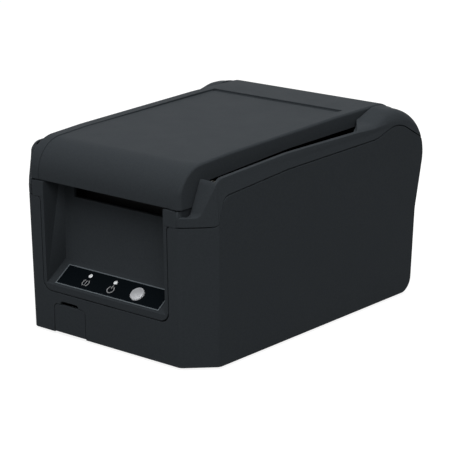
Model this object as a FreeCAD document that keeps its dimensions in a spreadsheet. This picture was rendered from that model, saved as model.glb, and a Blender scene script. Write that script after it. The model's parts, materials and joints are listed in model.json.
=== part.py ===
import FreeCAD, Part
import math
import os
import re

import Sketcher

# Desktop receipt printer: two-part moulded case, hinged lid carrying the platen, thermal print
# mechanism, roll bucket, boards with rear sockets, feed button, and a flap over the power switch.
# Design frame: X across from the middle, Y back from the front face, Z up from the case's underside.
# Every finished sub-part is then moved as one, so that the origin lies under the middle of the box.

Vec = FreeCAD.Vector
doc = FreeCAD.newDocument("receipt_printer")

# Driving sizes in millimetres and degrees

SIZES = [
    # paper and what is made to its width, from the middle outwards
    ("paper_width", 80, "width of the paper roll"),
    ("roll_diameter", 80, "largest paper roll"),
    ("slot_gap", 0.5, "paper slot beyond the paper, each side"),
    ("roller_over", 1, "platen beyond the paper, each side"),
    ("bucket_gap", 1.75, "bucket beyond the paper, each side"),
    ("plate_gap", 3.5, "chassis side beyond the platen"),
    ("plate_thick", 1.5, "sheet of the chassis"),
    ("cheek_gap", 2, "lid frame's cheek beyond the chassis"),
    ("cheek_thick", 2.5, "thickness of the cheeks"),
    ("gear_gap", 2, "gears beyond the cheeks"),
    ("gear_width", 5, "face width of the gears"),
    ("bay_gap", 2.5, "opening over the mechanism beyond the gears"),
    ("lid_over", 1.2, "lid's lowest edge beyond that opening"),
    ("lid_lean", 0.6, "how much each side of the lid leans in"),
    ("ear_gap", 0.7, "gap between the lid and the ears"),
    ("ear_plate", 4, "thickness of the ears' inner wall"),
    ("well_width", 10.6, "width of the finger wells"),
    ("rim_wall", 5, "wall of the upper case's rim"),
    ("rim_lip", 2.2, "outer lip of the rim, along the finger wells"),
    ("rim_step", 3, "step inside that lip"),
    # gear train, from which the mechanism's length and height follow
    ("gear_module", 0.8, "module of the gears"),
    ("gear_backlash", 0.12, "backlash at the pitch circle"),
    ("gear_slack", 0.1, "extra distance between gear axes"),
    ("gear_clear", 1.6, "clearance around the gears"),
    ("platen_teeth", 24, "teeth of the platen gear"),
    ("idler_teeth", 40, "teeth of the idler"),
    ("pinion_teeth", 18, "teeth of the motor pinion"),
    ("idler_lean", 4.34, "platen to idler line, degrees from upright"),
    ("pinion_angle", -14.7, "idler to pinion line, degrees above level"),
    ("motor_half", 17.5, "half size of the motor's square body"),
    ("motor_length", 24.5, "length of the motor"),
    ("motor_corner", 4, "chamfer of the motor's corners"),
    ("motor_boss", 5.5, "radius of the motor's front boss"),
    ("motor_boss_proud", 1, "motor's front boss outside the chassis"),
    ("motor_shaft_radius", 1.5, "radius of the motor's shaft"),
    ("motor_shaft_set", 6, "how far the shaft reaches into the motor"),
    ("motor_clear", 0.5, "motor above the chassis floor"),
    ("motor_plug_half", 7, "half width of the motor's connector"),
    ("motor_plug_length", 5, "length of the motor's connector"),
    # depths, front to rear
    ("recess_depth", 18.4, "depth of the front recess"),
    ("pan_wall", 2.4, "wall of the recess"),
    ("tear_gap", 1.6, "tear bar behind the recess's wall"),
    ("tear_thick", 0.8, "sheet of the tear bar"),
    ("frame_front_thick", 2.8, "front bar of the lid's frame"),
    ("platen_set", 12, "platen axis behind the chassis's front edge"),
    ("bucket_wall", 2, "wall of the paper bucket"),
    ("bucket_clear", 1.5, "bucket behind the chassis"),
    ("roll_gap", 7, "room around the paper roll"),
    ("bucket_flat", 1.5, "half of the flat along the bucket's floor"),
    ("roll_radius", 19.2, "round of the lid's tail about the hinge"),
    ("sweep_gap", 1, "clearance of the turning tail"),
    ("rear_room", 11.6, "rear bulge behind the lid's tail"),
    # case, from the underside up or from the top down
    ("case_height", 127.2, "height from which the upper lines fall, without the feet"),
    ("foot_height", 1.5, "how far the feet stand below the case"),
    ("side_draft", 1.3, "how much each side leans in at the underside"),
    ("front_draft", 2, "how much the front leans in at the underside"),
    ("shoulder_drop", 9.2, "full width, below the top"),
    ("front_chamfer", 16.5, "legs of the chamfered front corners"),
    ("wall", 2.5, "wall of the lower case"),
    ("fit_gap", 0.3, "clearance between fitted mouldings"),
    ("seam_gap", 0.6, "visible gap at the seams"),
    ("rear_bottom_inset", 11.2, "rear face in from the bulge, at the underside"),
    ("rear_foot_radius", 10, "round at the rear underside"),
    ("rear_waist_inset", 8.5, "rear face in from the bulge, at the waist"),
    ("rear_waist_drop", 71.2, "where the rear starts to bulge out, below the top"),
    ("rear_waist_radius", 30, "round at the waist"),
    ("rear_corner_out", 12.2, "unrounded rear top corner, behind the bulge"),
    ("rear_radius", 36, "round over the rear top"),
    ("ear_drop", 1.5, "ears below that height"),
    ("ear_rise", 16, "length of the rise from the rim to the ears"),
    ("ear_crest_radius", 18, "round at the top of the rise"),
    ("ear_foot_radius", 20, "round at the foot of the rise"),
    ("ear_shoulder_radius", 14, "round along the outer edge of the ears"),
    ("ear_crest_drop", 9.5, "fall of that round at the crest"),
    ("ear_foot_drop", 4, "fall of that round at the foot of the rise"),
    ("rear_edge_radius", 2.5, "round along the rear upright edges"),
    ("rim_edge_radius", 0.8, "round along the rim's outer edge"),
    ("rim_rear_drop", 7.1, "rim below the top, at the ears"),
    ("rim_mid_depth", 82, "where the rim's slope changes"),
    ("rim_mid_drop", 10, "rim below the top, there"),
    ("rim_front_depth", 18, "where the rim drops to the front corner"),
    ("rim_front_drop", 13.8, "rim below the top, there"),
    ("rim_front_radius", 8, "round at the top of the drop"),
    ("rim_step_depth", 8.4, "foot of the drop"),
    ("rim_step_radius", 4, "round at the foot of the drop"),
    ("rim_low_drop", 36, "rim below the top, at the front corners"),
    # seam between the two case halves
    ("seam_front_drop", 42.1, "seam below the top, across the front"),
    ("seam_step_depth", 16.2, "where the seam turns up the side"),
    ("seam_step_radius", 3, "round at that turn"),
    ("seam_rise_depth", 20.6, "where the seam turns back along the side"),
    ("seam_rise_drop", 24.9, "seam below the top, there"),
    ("seam_rise_radius", 8, "round at that turn"),
    ("seam_mid_depth", 80, "where the seam's slope changes"),
    ("seam_mid_drop", 20, "seam below the top, there"),
    ("seam_rear_drop", 17.9, "seam below the top, there"),
    ("seam_crest_drop", 10.8, "seam below the top, there"),
    ("seam_round", 25, "rounds of the seam over the hinge"),
    ("seam_fall", 0.55, "slope of the seam behind its crest"),
    ("deck_drop", 1, "deck of the finger well below the seam"),
    ("deck_thick", 2.5, "thickness of the deck"),
    # front window and recess
    ("recess_gap", 0.6, "recess beyond the inner face of the cheeks"),
    ("window_bottom", 25.8, "height of the window's lower edge"),
    ("window_radius", 6.5, "round at the window's lower corners"),
    ("window_top_radius", 3, "round where the window meets the seam"),
    ("floor_rise", 4.6, "front edge of the sloped floor above the window's edge"),
    ("floor_front_depth", 1, "front edge of the sloped floor"),
    ("floor_slope", 34.8, "slope of the floor"),
    ("pan_lip", 4.4, "thickness of the lip under the floor's front edge"),
    ("pillar_corner", 1.5, "bevel of the pillars' front corners"),
    ("well_turn", 18, "length of the finger well's slanted end"),
    ("roll_rim", 10.25, "edge of the deck beyond the bucket"),
    # lid, with its heights measured down from its top
    ("lid_set", 1, "lid's top below that height"),
    ("bridge_rise", 5, "wall behind the lid above the hinge axis"),
    ("lid_front", 0.4, "lid front, behind the front face"),
    ("lid_front_drop", 30.7, "lid's front edge below its top"),
    ("lid_brow_drop", 7.6, "unrounded front brow below the top"),
    ("lid_brow_radius", 21, "round of the front brow"),
    ("lid_mid_depth", 45, "where the lid's slope changes"),
    ("lid_mid_drop", 4.6, "lid below its top, there"),
    ("lid_level", 44, "level stretch of the lid in front of the hinge"),
    ("lid_rear_drop", 0.9, "lid below its top, there"),
    ("lid_corner", 5, "round of the lid's front upright corners"),
    ("lid_wall", 2.4, "wall of the lid"),
    ("lid_claw_depth", 15.5, "rear of the claws at the lid's front corners"),
    ("lid_claw_radius", 5, "round at the claws"),
    ("lid_side_depth", 24.5, "where the lid's side edge turns back"),
    ("lid_side_drop", 16.4, "side edge below the lid's top, there"),
    ("lid_side_radius", 10, "round at that turn"),
    ("lid_edge_depth", 100, "where the side edge's slope changes"),
    ("lid_edge_drop", 11.5, "side edge below the lid's top, there"),
    ("lid_edge_end_drop", 9.6, "side edge below the lid's top, at the rear"),
    ("lid_tail_length", 10, "hinge tail in front of the hinge axis"),
    ("lid_tail_slant", 8, "slant from the side edge down to the tail"),
    ("lid_tail_drop", 3, "lower end of the tail below the hinge axis"),
    ("panel_margin", 7.6, "sunken panel in from the lid's edge"),
    ("panel_sink", 0.5, "depth of the sunken panel at the front"),
    ("panel_rear_sink", 0.8, "depth of the sunken panel where the lid levels off"),
    ("panel_set", 28.5, "rear end of the panel in front of the hinge"),
    ("groove_width", 2, "width of the groove"),
    ("groove_depth", 1.3, "depth of the groove"),
    ("hinge_pin", 2.5, "radius of the hinge pins"),
    ("running_gap", 0.05, "radial clearance of turning shafts"),
    ("hinge_boss", 5.5, "radius of the lid's hinge bosses"),
    ("hinge_boss_length", 4.5, "hinge bosses in from the lid's wall"),
    # base, feet and screws
    ("base_thick", 2.5, "thickness of the base plate"),
    ("boss_radius", 5, "radius of the case's screw bosses"),
    ("boss_inset", 7, "screw bosses in from the sides"),
    ("boss_front_depth", 40, "front screw bosses"),
    ("boss_set", 10, "rear screw bosses in front of the finger well's end"),
    ("screw_radius", 1.5, "radius of the screws' shanks"),
    ("screw_head", 3, "radius of the screws' heads"),
    ("screw_head_height", 1.5, "height of the screws' heads"),
    ("screw_length", 14, "length of the screws' shanks"),
    ("foot_radius", 8, "radius of the rubber feet"),
    ("foot_inset", 21.5, "rubber feet in from the sides"),
    ("foot_front_depth", 32, "front feet"),
    ("foot_rear_inset", 37, "rear feet in from the bulge"),
    # switch flap and power switch
    ("door_middle", -30, "middle of the flap"),
    ("door_half", 12.9, "half width of the flap"),
    ("door_bottom", 0.6, "lower edge of the flap"),
    ("door_height", 18.5, "upper edge of the flap"),
    ("door_gap", 0.4, "gap around the flap"),
    ("door_radius", 3, "round of the flap's upper corners"),
    ("door_thick", 2, "thickness of the flap at its lower edge"),
    ("door_pin", 0.9, "radius of the flap's pins"),
    ("door_pin_height", 2.4, "flap's hinge axis height"),
    ("door_pin_length", 1.2, "length of the flap's pins"),
    ("notch_half", 7.6, "half width of the finger notch over the flap"),
    ("notch_rise", 2, "height of the finger notch"),
    ("pocket_depth", 16.5, "rear wall of the switch pocket"),
    ("pocket_room", 3.5, "switch pocket above the flap"),
    ("pocket_wall", 1.5, "walls of the switch pocket"),
    ("switch_height", 10.5, "middle of the power switch"),
    ("switch_half", 7.5, "half width of the switch body"),
    ("switch_half_height", 5.9, "half height of the switch body"),
    ("switch_length", 11.5, "length of the switch body behind the pocket"),
    ("switch_gap", 0.1, "gap around the switch body"),
    ("bezel_edge", 1.4, "width of the switch's bezel"),
    ("bezel_thick", 1.2, "thickness of the switch's bezel"),
    ("blade_half", 1.8, "half width of the switch's terminals"),
    ("blade_across", 3, "terminals from the switch's middle"),
    ("blade_length", 6, "length of the terminals"),
    ("blade_thick", 0.8, "thickness of the terminals"),
    ("rocker_half", 5.4, "half width of the rocker"),
    ("rocker_gap", 0.3, "side clearance of the rocker"),
    ("rocker_set", 1.1, "rocker's pivot behind the pocket's wall"),
    ("rocker_tall", 3.7, "half height of the rocker"),
    ("rocker_back", 2, "rear face of the rocker behind its pivot"),
    ("rocker_out", 3.6, "rocker's raised end in front of its pivot"),
    ("rocker_in", 2.6, "rocker's pressed end in front of its pivot"),
    ("rocker_dip", 1.7, "rocker's middle in front of its pivot"),
    ("rocker_sweep", 1.3, "room over and under the rocker"),
    ("rocker_pin", 1, "radius of the rocker's pins"),
    ("rocker_pin_length", 1.4, "length of the rocker's pins"),
    # print mechanism
    ("platen_drop", 31.2, "platen axis below the lid's top"),
    ("chassis_rise", 3, "chassis sides above the platen axis"),
    ("chassis_slope", 14, "fall of the chassis sides to the rear"),
    ("chassis_corner", 2, "cut front corners of the chassis sides"),
    ("post_radius", 5, "radius of the posts under the chassis"),
    ("post_front_inset", 4.5, "front posts in from the chassis sides"),
    ("post_rear_inset", 2, "rear posts in from the motor"),
    ("post_rear_set", 6, "rear posts in front of the chassis's rear edge"),
    ("roller_radius", 6, "radius of the platen's rubber"),
    ("shaft_radius", 2.5, "radius of the platen's shaft"),
    ("shaft_end", 0.8, "shaft beyond the gear"),
    ("collar_gap", 0.4, "collar beyond the cheek"),
    ("collar_thick", 1.4, "collar at the shaft's other end"),
    ("bushing_inset", 1.1, "platen's bushings inside the chassis sides"),
    ("bushing_radius", 4.5, "radius of the bushings"),
    ("bushing_flare", 1, "flare of the notches that take the bushings"),
    ("spigot_radius", 3.6, "radius of the bushings where the lid's frame holds them"),
    ("cheek_reach", 6.5, "cheeks around the platen axis, to front and rear"),
    ("cheek_drop", 5.5, "cheeks below the platen axis"),
    ("cheek_spread", 20, "cheeks behind the platen axis, at the lid"),
    ("frame_gap", 1, "lid's frame above the chassis"),
    ("frame_bar", 11, "height of the frame's front bar"),
    ("tie_set", 12, "frame's rear bar behind the platen axis"),
    ("tie_rise", 11, "frame's rear bar above the platen axis"),
    ("post_pin", 2, "radius of the idler's post"),
    ("post_collar", 1.2, "shoulder of the idler's post"),
    ("post_play", 0.5, "end play of the idler"),
    ("post_head", 1, "head of the idler's post"),
    ("head_over", 1, "print head beyond the platen's rubber, each side"),
    ("head_depth", 11, "print head from front to rear"),
    ("head_gap", 0.3, "print head below the platen"),
    ("head_thick", 1.2, "thickness of the print head"),
    ("head_plug_half", 21, "half length of the print head's connector"),
    ("head_plug_depth", 3.5, "depth of the print head's connector"),
    ("head_plug_height", 3, "print head's connector below the plate"),
    ("sink_thick", 6, "solid part of the heatsink"),
    ("fin_thick", 1.5, "thickness of the heatsink's fins"),
    ("trunnion_radius", 1.5, "radius of the heatsink's trunnions"),
    ("spring_thick", 0.6, "sheet of the head spring"),
    ("spring_height", 18.5, "height of the head spring"),
    ("spring_half", 20, "half length of the head spring"),
    ("spring_foot", 8, "length of the spring's foot"),
    ("spring_lean", 3.4, "how far the spring's leg leans"),
    ("tear_over", 1, "tear bar beyond the platen's rubber, each side"),
    ("tear_drop", 3, "tips of the tear bar below the platen axis"),
    ("tear_rise", 11, "top of the tear bar above the platen axis"),
    ("tear_pitch", 2, "pitch of the tear bar's teeth"),
    ("tear_tooth", 1.6, "height of the tear bar's teeth"),
    ("slot_drop", 11.8, "lower edge of the paper slot below the platen axis"),
    # paper roll
    ("bucket_bottom", 30, "inner floor of the paper bucket"),
    # boards and sockets
    ("board_bottom", 8, "underside of the main board"),
    ("board_thick", 1.6, "thickness of the boards"),
    ("board_inset", 12.5, "main board in from the screw bosses"),
    ("board_set", 5, "main board behind the chassis"),
    ("board_post", 3.5, "radius of the posts under the main board"),
    ("board_hole_inset", 8, "main board's screws in from its edges"),
    ("socket_set", 0.6, "mouths of the sockets inside the rear face"),
    ("socket_length", 14.7, "length of the sockets"),
    ("socket_over", 7.2, "sockets behind the main board's edge"),
    ("socket_gap", 0.4, "gap around the sockets"),
    ("socket_wall", 1.9, "walls of the sockets"),
    ("socket_deep", 11.5, "depth of the sockets' hollows"),
    ("latch_rise", 1.3, "latch groove of the sockets"),
    ("latch_half", 2.6, "half width of the latch groove"),
    ("power_inset", 16, "power socket's middle in from the main board's end"),
    ("power_half", 6, "half width of the power socket"),
    ("power_tall", 12, "height of the power socket"),
    ("power_bore", 3.2, "radius of the power socket's bore"),
    ("power_pin", 1, "radius of the power socket's pin"),
    ("usb_middle", -19, "square data socket from the middle"),
    ("usb_half", 6, "half width of that socket"),
    ("usb_tall", 11, "height of that socket"),
    ("usb_tongue_half", 2.7, "half width of its tongue"),
    ("usb_tongue_thick", 3.2, "thickness of its tongue"),
    ("network_middle", 6, "network socket from the middle"),
    ("network_half", 8, "half width of the network socket"),
    ("network_tall", 13.5, "height of the network socket"),
    ("drawer_middle", 33, "drawer socket from the middle"),
    ("drawer_half", 6.8, "half width of the drawer socket"),
    ("drawer_tall", 12, "height of the drawer socket"),
    ("chip_pitch", 12, "grid on which the main board's chips stand"),
    ("chip_size", 14, "size of the large chip"),
    ("chip_height", 1.6, "height of the chips"),
    ("header_half", 25, "half length of the cable header"),
    ("header_depth", 5, "depth of the cable header"),
    ("header_height", 6, "height of the cable header"),
    ("can_radius", 4.5, "radius of the capacitors"),
    ("can_height", 11, "height of the capacitors"),
    # control panel, measured up the slope and square to it
    ("label_margin", 6.2, "label in from the recess's sides"),
    ("label_start", 1.7, "lower edge of the label, up the slope"),
    ("label_length", 15.8, "height of the label, up the slope"),
    ("label_thick", 0.3, "thickness of the label"),
    ("label_radius", 1.5, "round of the label's corners"),
    ("mark_across", 20.7, "button and outer light from the middle"),
    ("button_up", 9, "button, up the slope"),
    ("light_up", 12.9, "lights, up the slope"),
    ("light_radius", 1.4, "radius of the light windows"),
    ("light_proud", 0.15, "light windows above the label"),
    ("button_radius", 4.6, "radius of the button"),
    ("button_proud", 1.6, "button above the floor"),
    ("button_bevel", 0.5, "bevel of the button's edge"),
    ("button_flange", 6, "radius of the button's flange"),
    ("button_flange_thick", 1, "thickness of the button's flange"),
    ("button_play", 0.15, "button's flange under the floor"),
    ("button_travel", 1, "travel of the button"),
    ("plunger_gap", 0.1, "button above its switch when pressed"),
    ("plunger_radius", 1.5, "radius of the switch's plunger"),
    ("plunger_height", 0.7, "height of the switch's plunger"),
    ("feed_switch_half", 3, "half size of the feed switch"),
    ("feed_switch_height", 1.2, "height of the feed switch's body"),
    ("panel_board_inset", 2.2, "panel board in from the recess's outer walls"),
    ("panel_board_edge", 1.5, "panel board in from the label's edges"),
    ("panel_boss_radius", 2.5, "radius of the panel board's bosses"),
    ("panel_boss_inset", 8, "those bosses in from the board's ends"),
]

# Sizes worked out from the driving ones, so that what fits together stays together

WORKED = [
    # paper and what is made to its width, from the middle outwards
    ("slot_half", "paper_width / 2 + slot_gap", "half width of the paper slot"),
    ("roller_half", "paper_width / 2 + roller_over", "half length of the platen's rubber"),
    ("bucket_half", "paper_width / 2 + bucket_gap", "inner half width of the paper bucket"),
    ("plate_inner", "roller_half + plate_gap", "inner face of the chassis sides"),
    ("cheek_inner", "plate_inner + plate_thick + cheek_gap", "inner face of the cheeks"),
    ("gear_inner", "cheek_inner + cheek_thick + gear_gap", "inner face of the gears"),
    ("bay_half", "gear_inner + gear_width + bay_gap", "half width of that opening"),
    ("lid_bottom_half", "bay_half + lid_over", "half width of the lid at its lowest edge"),
    ("lid_top_half", "lid_bottom_half - lid_lean", "half width of the lid along its top crease"),
    ("ear_inner", "lid_bottom_half + ear_gap", "inner face of the ears"),
    ("case_width", "2 * (ear_inner + well_width + rim_wall)", "overall width, at the shoulder"),
    # gear train, from which the mechanism's length and height follow
    ("motor_inner", "plate_inner - motor_length", "inner end of the motor"),
    # depths, front to rear
    ("tear_front", "recess_depth + pan_wall + tear_gap", "front face of the tear bar"),
    ("chassis_front", "tear_front + tear_thick * 2", "front edge of the chassis"),
    ("platen_depth", "chassis_front + platen_set", "platen axis behind the front"),
    ("pillar_depth", "platen_depth - gear_module * (platen_teeth / 2 + 1) - gear_clear",
     "depth of the pillars"),
    ("gear_reach", "gear_module * (platen_teeth + idler_teeth) / 2 + gear_slack", "platen to idler"),
    ("pinion_reach", "gear_module * (pinion_teeth + idler_teeth) / 2 + gear_slack", "idler to pinion"),
    ("idler_depth", "platen_depth + gear_reach * sin(idler_lean)", "idler axis behind the front"),
    ("pinion_depth", "idler_depth + pinion_reach * cos(pinion_angle)", "motor axis behind the front"),
    ("chassis_rear", "pinion_depth + motor_half + motor_clear * 2", "rear edge of the chassis"),
    ("bucket_front", "chassis_rear + bucket_clear + bucket_wall", "inner front of the paper bucket"),
    ("bucket_rear", "bucket_front + roll_diameter + roll_gap", "inner rear of the paper bucket"),
    ("bucket_radius", "(bucket_rear - bucket_front) / 2 - bucket_flat", "round of the bucket's floor"),
    ("deck_end_depth", "bucket_rear + bucket_wall + bucket_clear", "rear end of the deck"),
    ("hinge_depth", "deck_end_depth + roll_radius + 2 * sweep_gap", "hinge axis behind the front"),
    ("case_depth", "hinge_depth + roll_radius + rear_room", "overall depth, front face to rear bulge"),
    # case, from the underside up or from the top down
    ("ear_rise_end", "hinge_depth - roll_radius / 2", "where the ears reach their full height"),
    ("ear_rise_start", "ear_rise_end - ear_rise", "where the rim starts to rise into the ears"),
    ("rim_low_height", "case_height - rim_low_drop", "height of the front corners"),
    # seam between the two case halves
    ("seam_front", "case_height - seam_front_drop", "seam height across the front"),
    ("seam_rear_depth", "hinge_depth - 1.25 * roll_radius", "where the seam rises over the hinge"),
    ("seam_crest_depth", "hinge_depth - sweep_gap", "unrounded crest of the seam"),
    ("tongue", "deck_drop + deck_thick", "how far the upper case reaches down inside the lower"),
    # front window and recess
    ("recess_half", "cheek_inner + recess_gap", "half width of the recess"),
    ("window_half", "recess_half + pan_wall + seam_gap", "half width of the window in the front"),
    ("floor_front_height", "window_bottom + floor_rise", "height of the floor's front edge"),
    ("well_end_depth", "ear_rise_start", "where the finger well ends against the lid"),
    ("well_turn_depth", "well_end_depth - well_turn", "where the finger well starts to close"),
    ("roll_opening_half", "bucket_half + roll_rim", "half width of the opening over the paper roll"),
    # lid, with its heights measured down from its top
    ("hinge_height", "case_height - lid_set - roll_radius", "hinge axis height"),
    ("lid_top", "hinge_height + roll_radius", "top of the lid at its rear"),
    ("lid_front_edge", "lid_top - lid_front_drop", "height of the lid's front edge"),
    ("lid_rear_depth", "hinge_depth - lid_level", "where the lid levels off"),
    ("panel_half", "lid_top_half - panel_margin", "half width of the sunken panel"),
    ("panel_end_depth", "hinge_depth - panel_set", "groove at the rear of the panel"),
    ("hinge_boss_inner", "lid_top_half - lid_wall - hinge_boss_length", "inner face of those bosses"),
    # base, feet and screws
    ("boss_across", "case_width / 2 - boss_inset", "screw bosses from the middle"),
    ("boss_rear_depth", "well_turn_depth - boss_set", "rear screw bosses"),
    ("foot_across", "case_width / 2 - foot_inset", "rubber feet from the middle"),
    ("foot_rear_depth", "case_depth - foot_rear_inset", "rear feet"),
    # print mechanism
    ("platen_height", "lid_top - platen_drop", "platen axis height"),
    ("idler_height", "platen_height - gear_reach * cos(idler_lean)", "idler axis height"),
    ("pinion_height", "idler_height + pinion_reach * sin(pinion_angle)", "motor axis height"),
    ("chassis_bottom", "pinion_height - motor_half - motor_clear - plate_thick",
     "underside of the chassis"),
    ("chassis_top", "platen_height + chassis_rise", "top of the chassis sides at the platen"),
    ("post_front_across", "plate_inner - post_front_inset", "front posts from the middle"),
    ("post_rear_across", "motor_inner - post_radius - post_rear_inset", "rear posts from the middle"),
    ("post_rear_depth", "chassis_rear - post_rear_set", "rear posts"),
    ("bushing_inner", "plate_inner - bushing_inset", "inner face of the bushings"),
    ("head_half", "roller_half + head_over", "half length of the print head"),
    ("head_front", "platen_depth - head_depth / 2", "front edge of the print head"),
    ("head_rear", "platen_depth + head_depth / 2", "rear edge of the print head"),
    ("head_top", "platen_height - roller_radius - head_gap", "face of the print head"),
    ("sink_top", "head_top - head_thick", "top of the heatsink"),
    ("sink_bottom", "chassis_bottom + plate_thick + spring_height", "lower end of the heatsink's fins"),
    ("trunnion_height", "sink_top - sink_thick / 2", "heatsink's trunnions"),
    ("tear_half", "roller_half + tear_over", "half length of the tear bar"),
    ("slot_bottom", "platen_height - slot_drop", "height of the paper slot's lower edge"),
    # paper roll
    ("flange_half", "boss_across - boss_radius - 2 * fit_gap", "half width of the bucket's flange"),
    # boards and sockets
    ("board_top", "board_bottom + board_thick", "top of the main board"),
    ("board_half", "boss_across - board_inset", "half width of the main board"),
    ("board_front", "chassis_rear + board_set", "front edge of the main board"),
    ("power_middle", "power_inset - board_half", "power socket from the middle"),
    ("board_hole_across", "board_half - board_hole_inset", "main board's screws from the middle"),
    ("board_hole_front", "board_front + board_hole_inset", "front screws of the main board"),
    ("socket_rear", "case_depth - rear_bottom_inset - socket_set", "mouths of the sockets"),
    ("socket_front", "socket_rear - socket_length", "inner end of the sockets"),
    ("board_rear", "socket_rear - socket_over", "rear edge of the main board"),
    ("board_hole_rear", "socket_front - board_post - fit_gap", "rear screws of the main board"),
    # control panel, measured up the slope and square to it
    ("label_half", "recess_half - label_margin", "half width of the label"),
    ("flange_bottom", "-pan_wall - button_play - button_flange_thick",
     "underside of the button's flange"),
    ("plunger_top", "flange_bottom - button_travel - plunger_gap", "top of the plunger"),
    ("panel_board_top", "plunger_top - plunger_height - feed_switch_height", "top of the panel board"),
    ("panel_board_half", "recess_half - pan_wall - panel_board_inset", "half width of the panel board"),
    ("panel_boss_across", "panel_board_half - panel_boss_inset", "those bosses from the middle"),
]

DRIVING_WORDS = {alias for alias, number, note in SIZES}
WORKED_WORDS = {alias for alias, formula, note in WORKED}


def scoped(text):
    """The expression with its sheet named in front of each of its aliases."""
    def named(word):
        if word[0] in DRIVING_WORDS:
            return "sizes." + word[0]
        return "worked." + word[0] if word[0] in WORKED_WORDS else word[0]
    return re.sub(r"[a-z_]+", named, str(text))


def fill(name, rows):
    """A sheet with a note, a value and an alias in each row."""
    sheet = doc.addObject("Spreadsheet::Sheet", name)
    for row, (alias, content, note) in enumerate(rows, start=1):
        sheet.set(f"A{row}", note)
        sheet.set(f"B{row}", str(content))
        sheet.setAlias(f"B{row}", alias)
    doc.recompute()
    return sheet


sheet = fill("sizes", SIZES)
fill("worked", [(alias, "=" + scoped(formula).replace("worked.", ""), note)
                for alias, formula, note in WORKED])
doc.recompute()

# Reach of cutting tools: beyond the case, in front of or below it, and just past a face
FAR = "400"
OUT = "-40"
PAST = "1"


def value(text):
    """The number that an expression of sheet aliases stands for."""
    return float(sheet.evalExpression(scoped(text)))


PATHS = {"x": "Placement.Base.x", "y": "Placement.Base.y", "z": "Placement.Base.z",
         "turn": "Placement.Rotation.Angle"}


def bind(thing, **properties):
    """Tie properties of a document object to the sheet; x, y, z and turn stand for its placement."""
    for name, text in properties.items():
        thing.setExpression(PATHS.get(name, name), scoped(text))
    return thing


PLANES = {"XY": FreeCAD.Rotation(), "XZ": FreeCAD.Rotation(Vec(1, 0, 0), 90),
          "YZ": FreeCAD.Rotation(Vec(1, 1, 1), 120)}
AXES = {"XY": Vec(0, 0, 1), "XZ": Vec(0, 1, 0), "YZ": Vec(1, 0, 0)}
LETTERS = {"XY": "z", "XZ": "y", "YZ": "x"}


def outline(name, plane, corners):
    """A closed sketch through corners given as expressions (across, up, optional radius)."""
    sketch = doc.addObject("Sketcher::SketchObject", name)
    sketch.Placement = FreeCAD.Placement(Vec(), PLANES[plane])
    points = [Vec(value(corner[0]), value(corner[1])) for corner in corners]
    radii = [value(corner[2]) if len(corner) > 2 else 0 for corner in corners]
    count = len(corners)
    starts, ends, middles = [], [], []
    for i in range(count):
        back = (points[i - 1] - points[i]).normalize()
        ahead = (points[(i + 1) % count] - points[i]).normalize()
        reach = radii[i] / math.tan(back.getAngle(ahead) / 2)
        ends.append(points[i] + back * reach)
        starts.append(points[i] + ahead * reach)
        middles.append(points[i] + (back + ahead).normalize() * (math.hypot(reach, radii[i]) - radii[i]))
    lines = []
    for i in range(count):
        lines.append(sketch.addGeometry(Part.LineSegment(starts[i], ends[(i + 1) % count])))

    def hold(text, *constraint):
        index = sketch.addConstraint(Sketcher.Constraint(*constraint))
        sketch.setExpression(f"Constraints[{index}]", scoped(text))

    for i in range(count):
        before, after = lines[i - 1], lines[i]
        if radii[i]:
            corner = sketch.addGeometry(Part.Point(points[i]), True)
            sketch.addConstraint(Sketcher.Constraint("PointOnObject", corner, 1, before))
            sketch.addConstraint(Sketcher.Constraint("PointOnObject", corner, 1, after))
            arc = sketch.addGeometry(Part.Arc(ends[i], middles[i], starts[i]))
            turned_round = sketch.getPoint(arc, 1).distanceToPoint(ends[i]) > 1e-6
            first, last = (2, 1) if turned_round else (1, 2)
            sketch.addConstraint(Sketcher.Constraint("Tangent", before, 2, arc, first))
            sketch.addConstraint(Sketcher.Constraint("Tangent", arc, last, after, 1))
            hold(corners[i][2], "Radius", arc, radii[i])
        else:
            corner = after
            sketch.addConstraint(Sketcher.Constraint("Coincident", before, 2, after, 1))
        hold(corners[i][0], "DistanceX", corner, 1, points[i].x)
        hold(corners[i][1], "DistanceY", corner, 1, points[i].y)
    return sketch


def run_out(name, base, direction):
    """A solid drawn out of a flat outline."""
    solid = doc.addObject("Part::Extrusion", name)
    solid.Base = base
    solid.DirMode = "Custom"
    solid.Dir = direction
    solid.Solid = True
    return solid


def prism(name, plane, corners, start, end):
    """A solid drawn as an outline on a plane and run along that plane's own axis, start to end."""
    sketch = bind(outline(name + "_outline", plane, corners), **{LETTERS[plane]: start})
    return bind(run_out(name, sketch, AXES[plane]), LengthFwd=f"({end}) - ({start})")


def block(name, x, y, z):
    """A box from pairs of expressions, low and high, along each axis."""
    solid = doc.addObject("Part::Box", name)
    return bind(solid, Length=f"({x[1]}) - ({x[0]})", Width=f"({y[1]}) - ({y[0]})",
                Height=f"({z[1]}) - ({z[0]})", x=x[0], y=y[0], z=z[0])


def rod(name, axis, radius, start, end, across, up):
    """A cylinder along an axis; across and up are its place along the other two, in X, Y, Z order."""
    solid = doc.addObject("Part::Cylinder", name)
    turns = {"x": FreeCAD.Rotation(Vec(0, 1, 0), 90), "y": FreeCAD.Rotation(Vec(1, 0, 0), -90),
             "z": FreeCAD.Rotation()}
    solid.Placement = FreeCAD.Placement(Vec(), turns[axis])
    others = [letter for letter in "xyz" if letter != axis]
    return bind(solid, Radius=radius, Height=f"({end}) - ({start})",
                **{axis: start, others[0]: across, others[1]: up})


def rods(name, radius, start, end, places):
    """Upright cylinders, one at each place."""
    return [rod(f"{name}_{index}", "z", radius, start, end, *place) for index, place in enumerate(places)]


def join(kind, name, parts):
    solid = doc.addObject(kind, name)
    solid.Shapes = parts
    return solid


def fuse(name, *parts):
    return join("Part::MultiFuse", name, list(parts))


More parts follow.
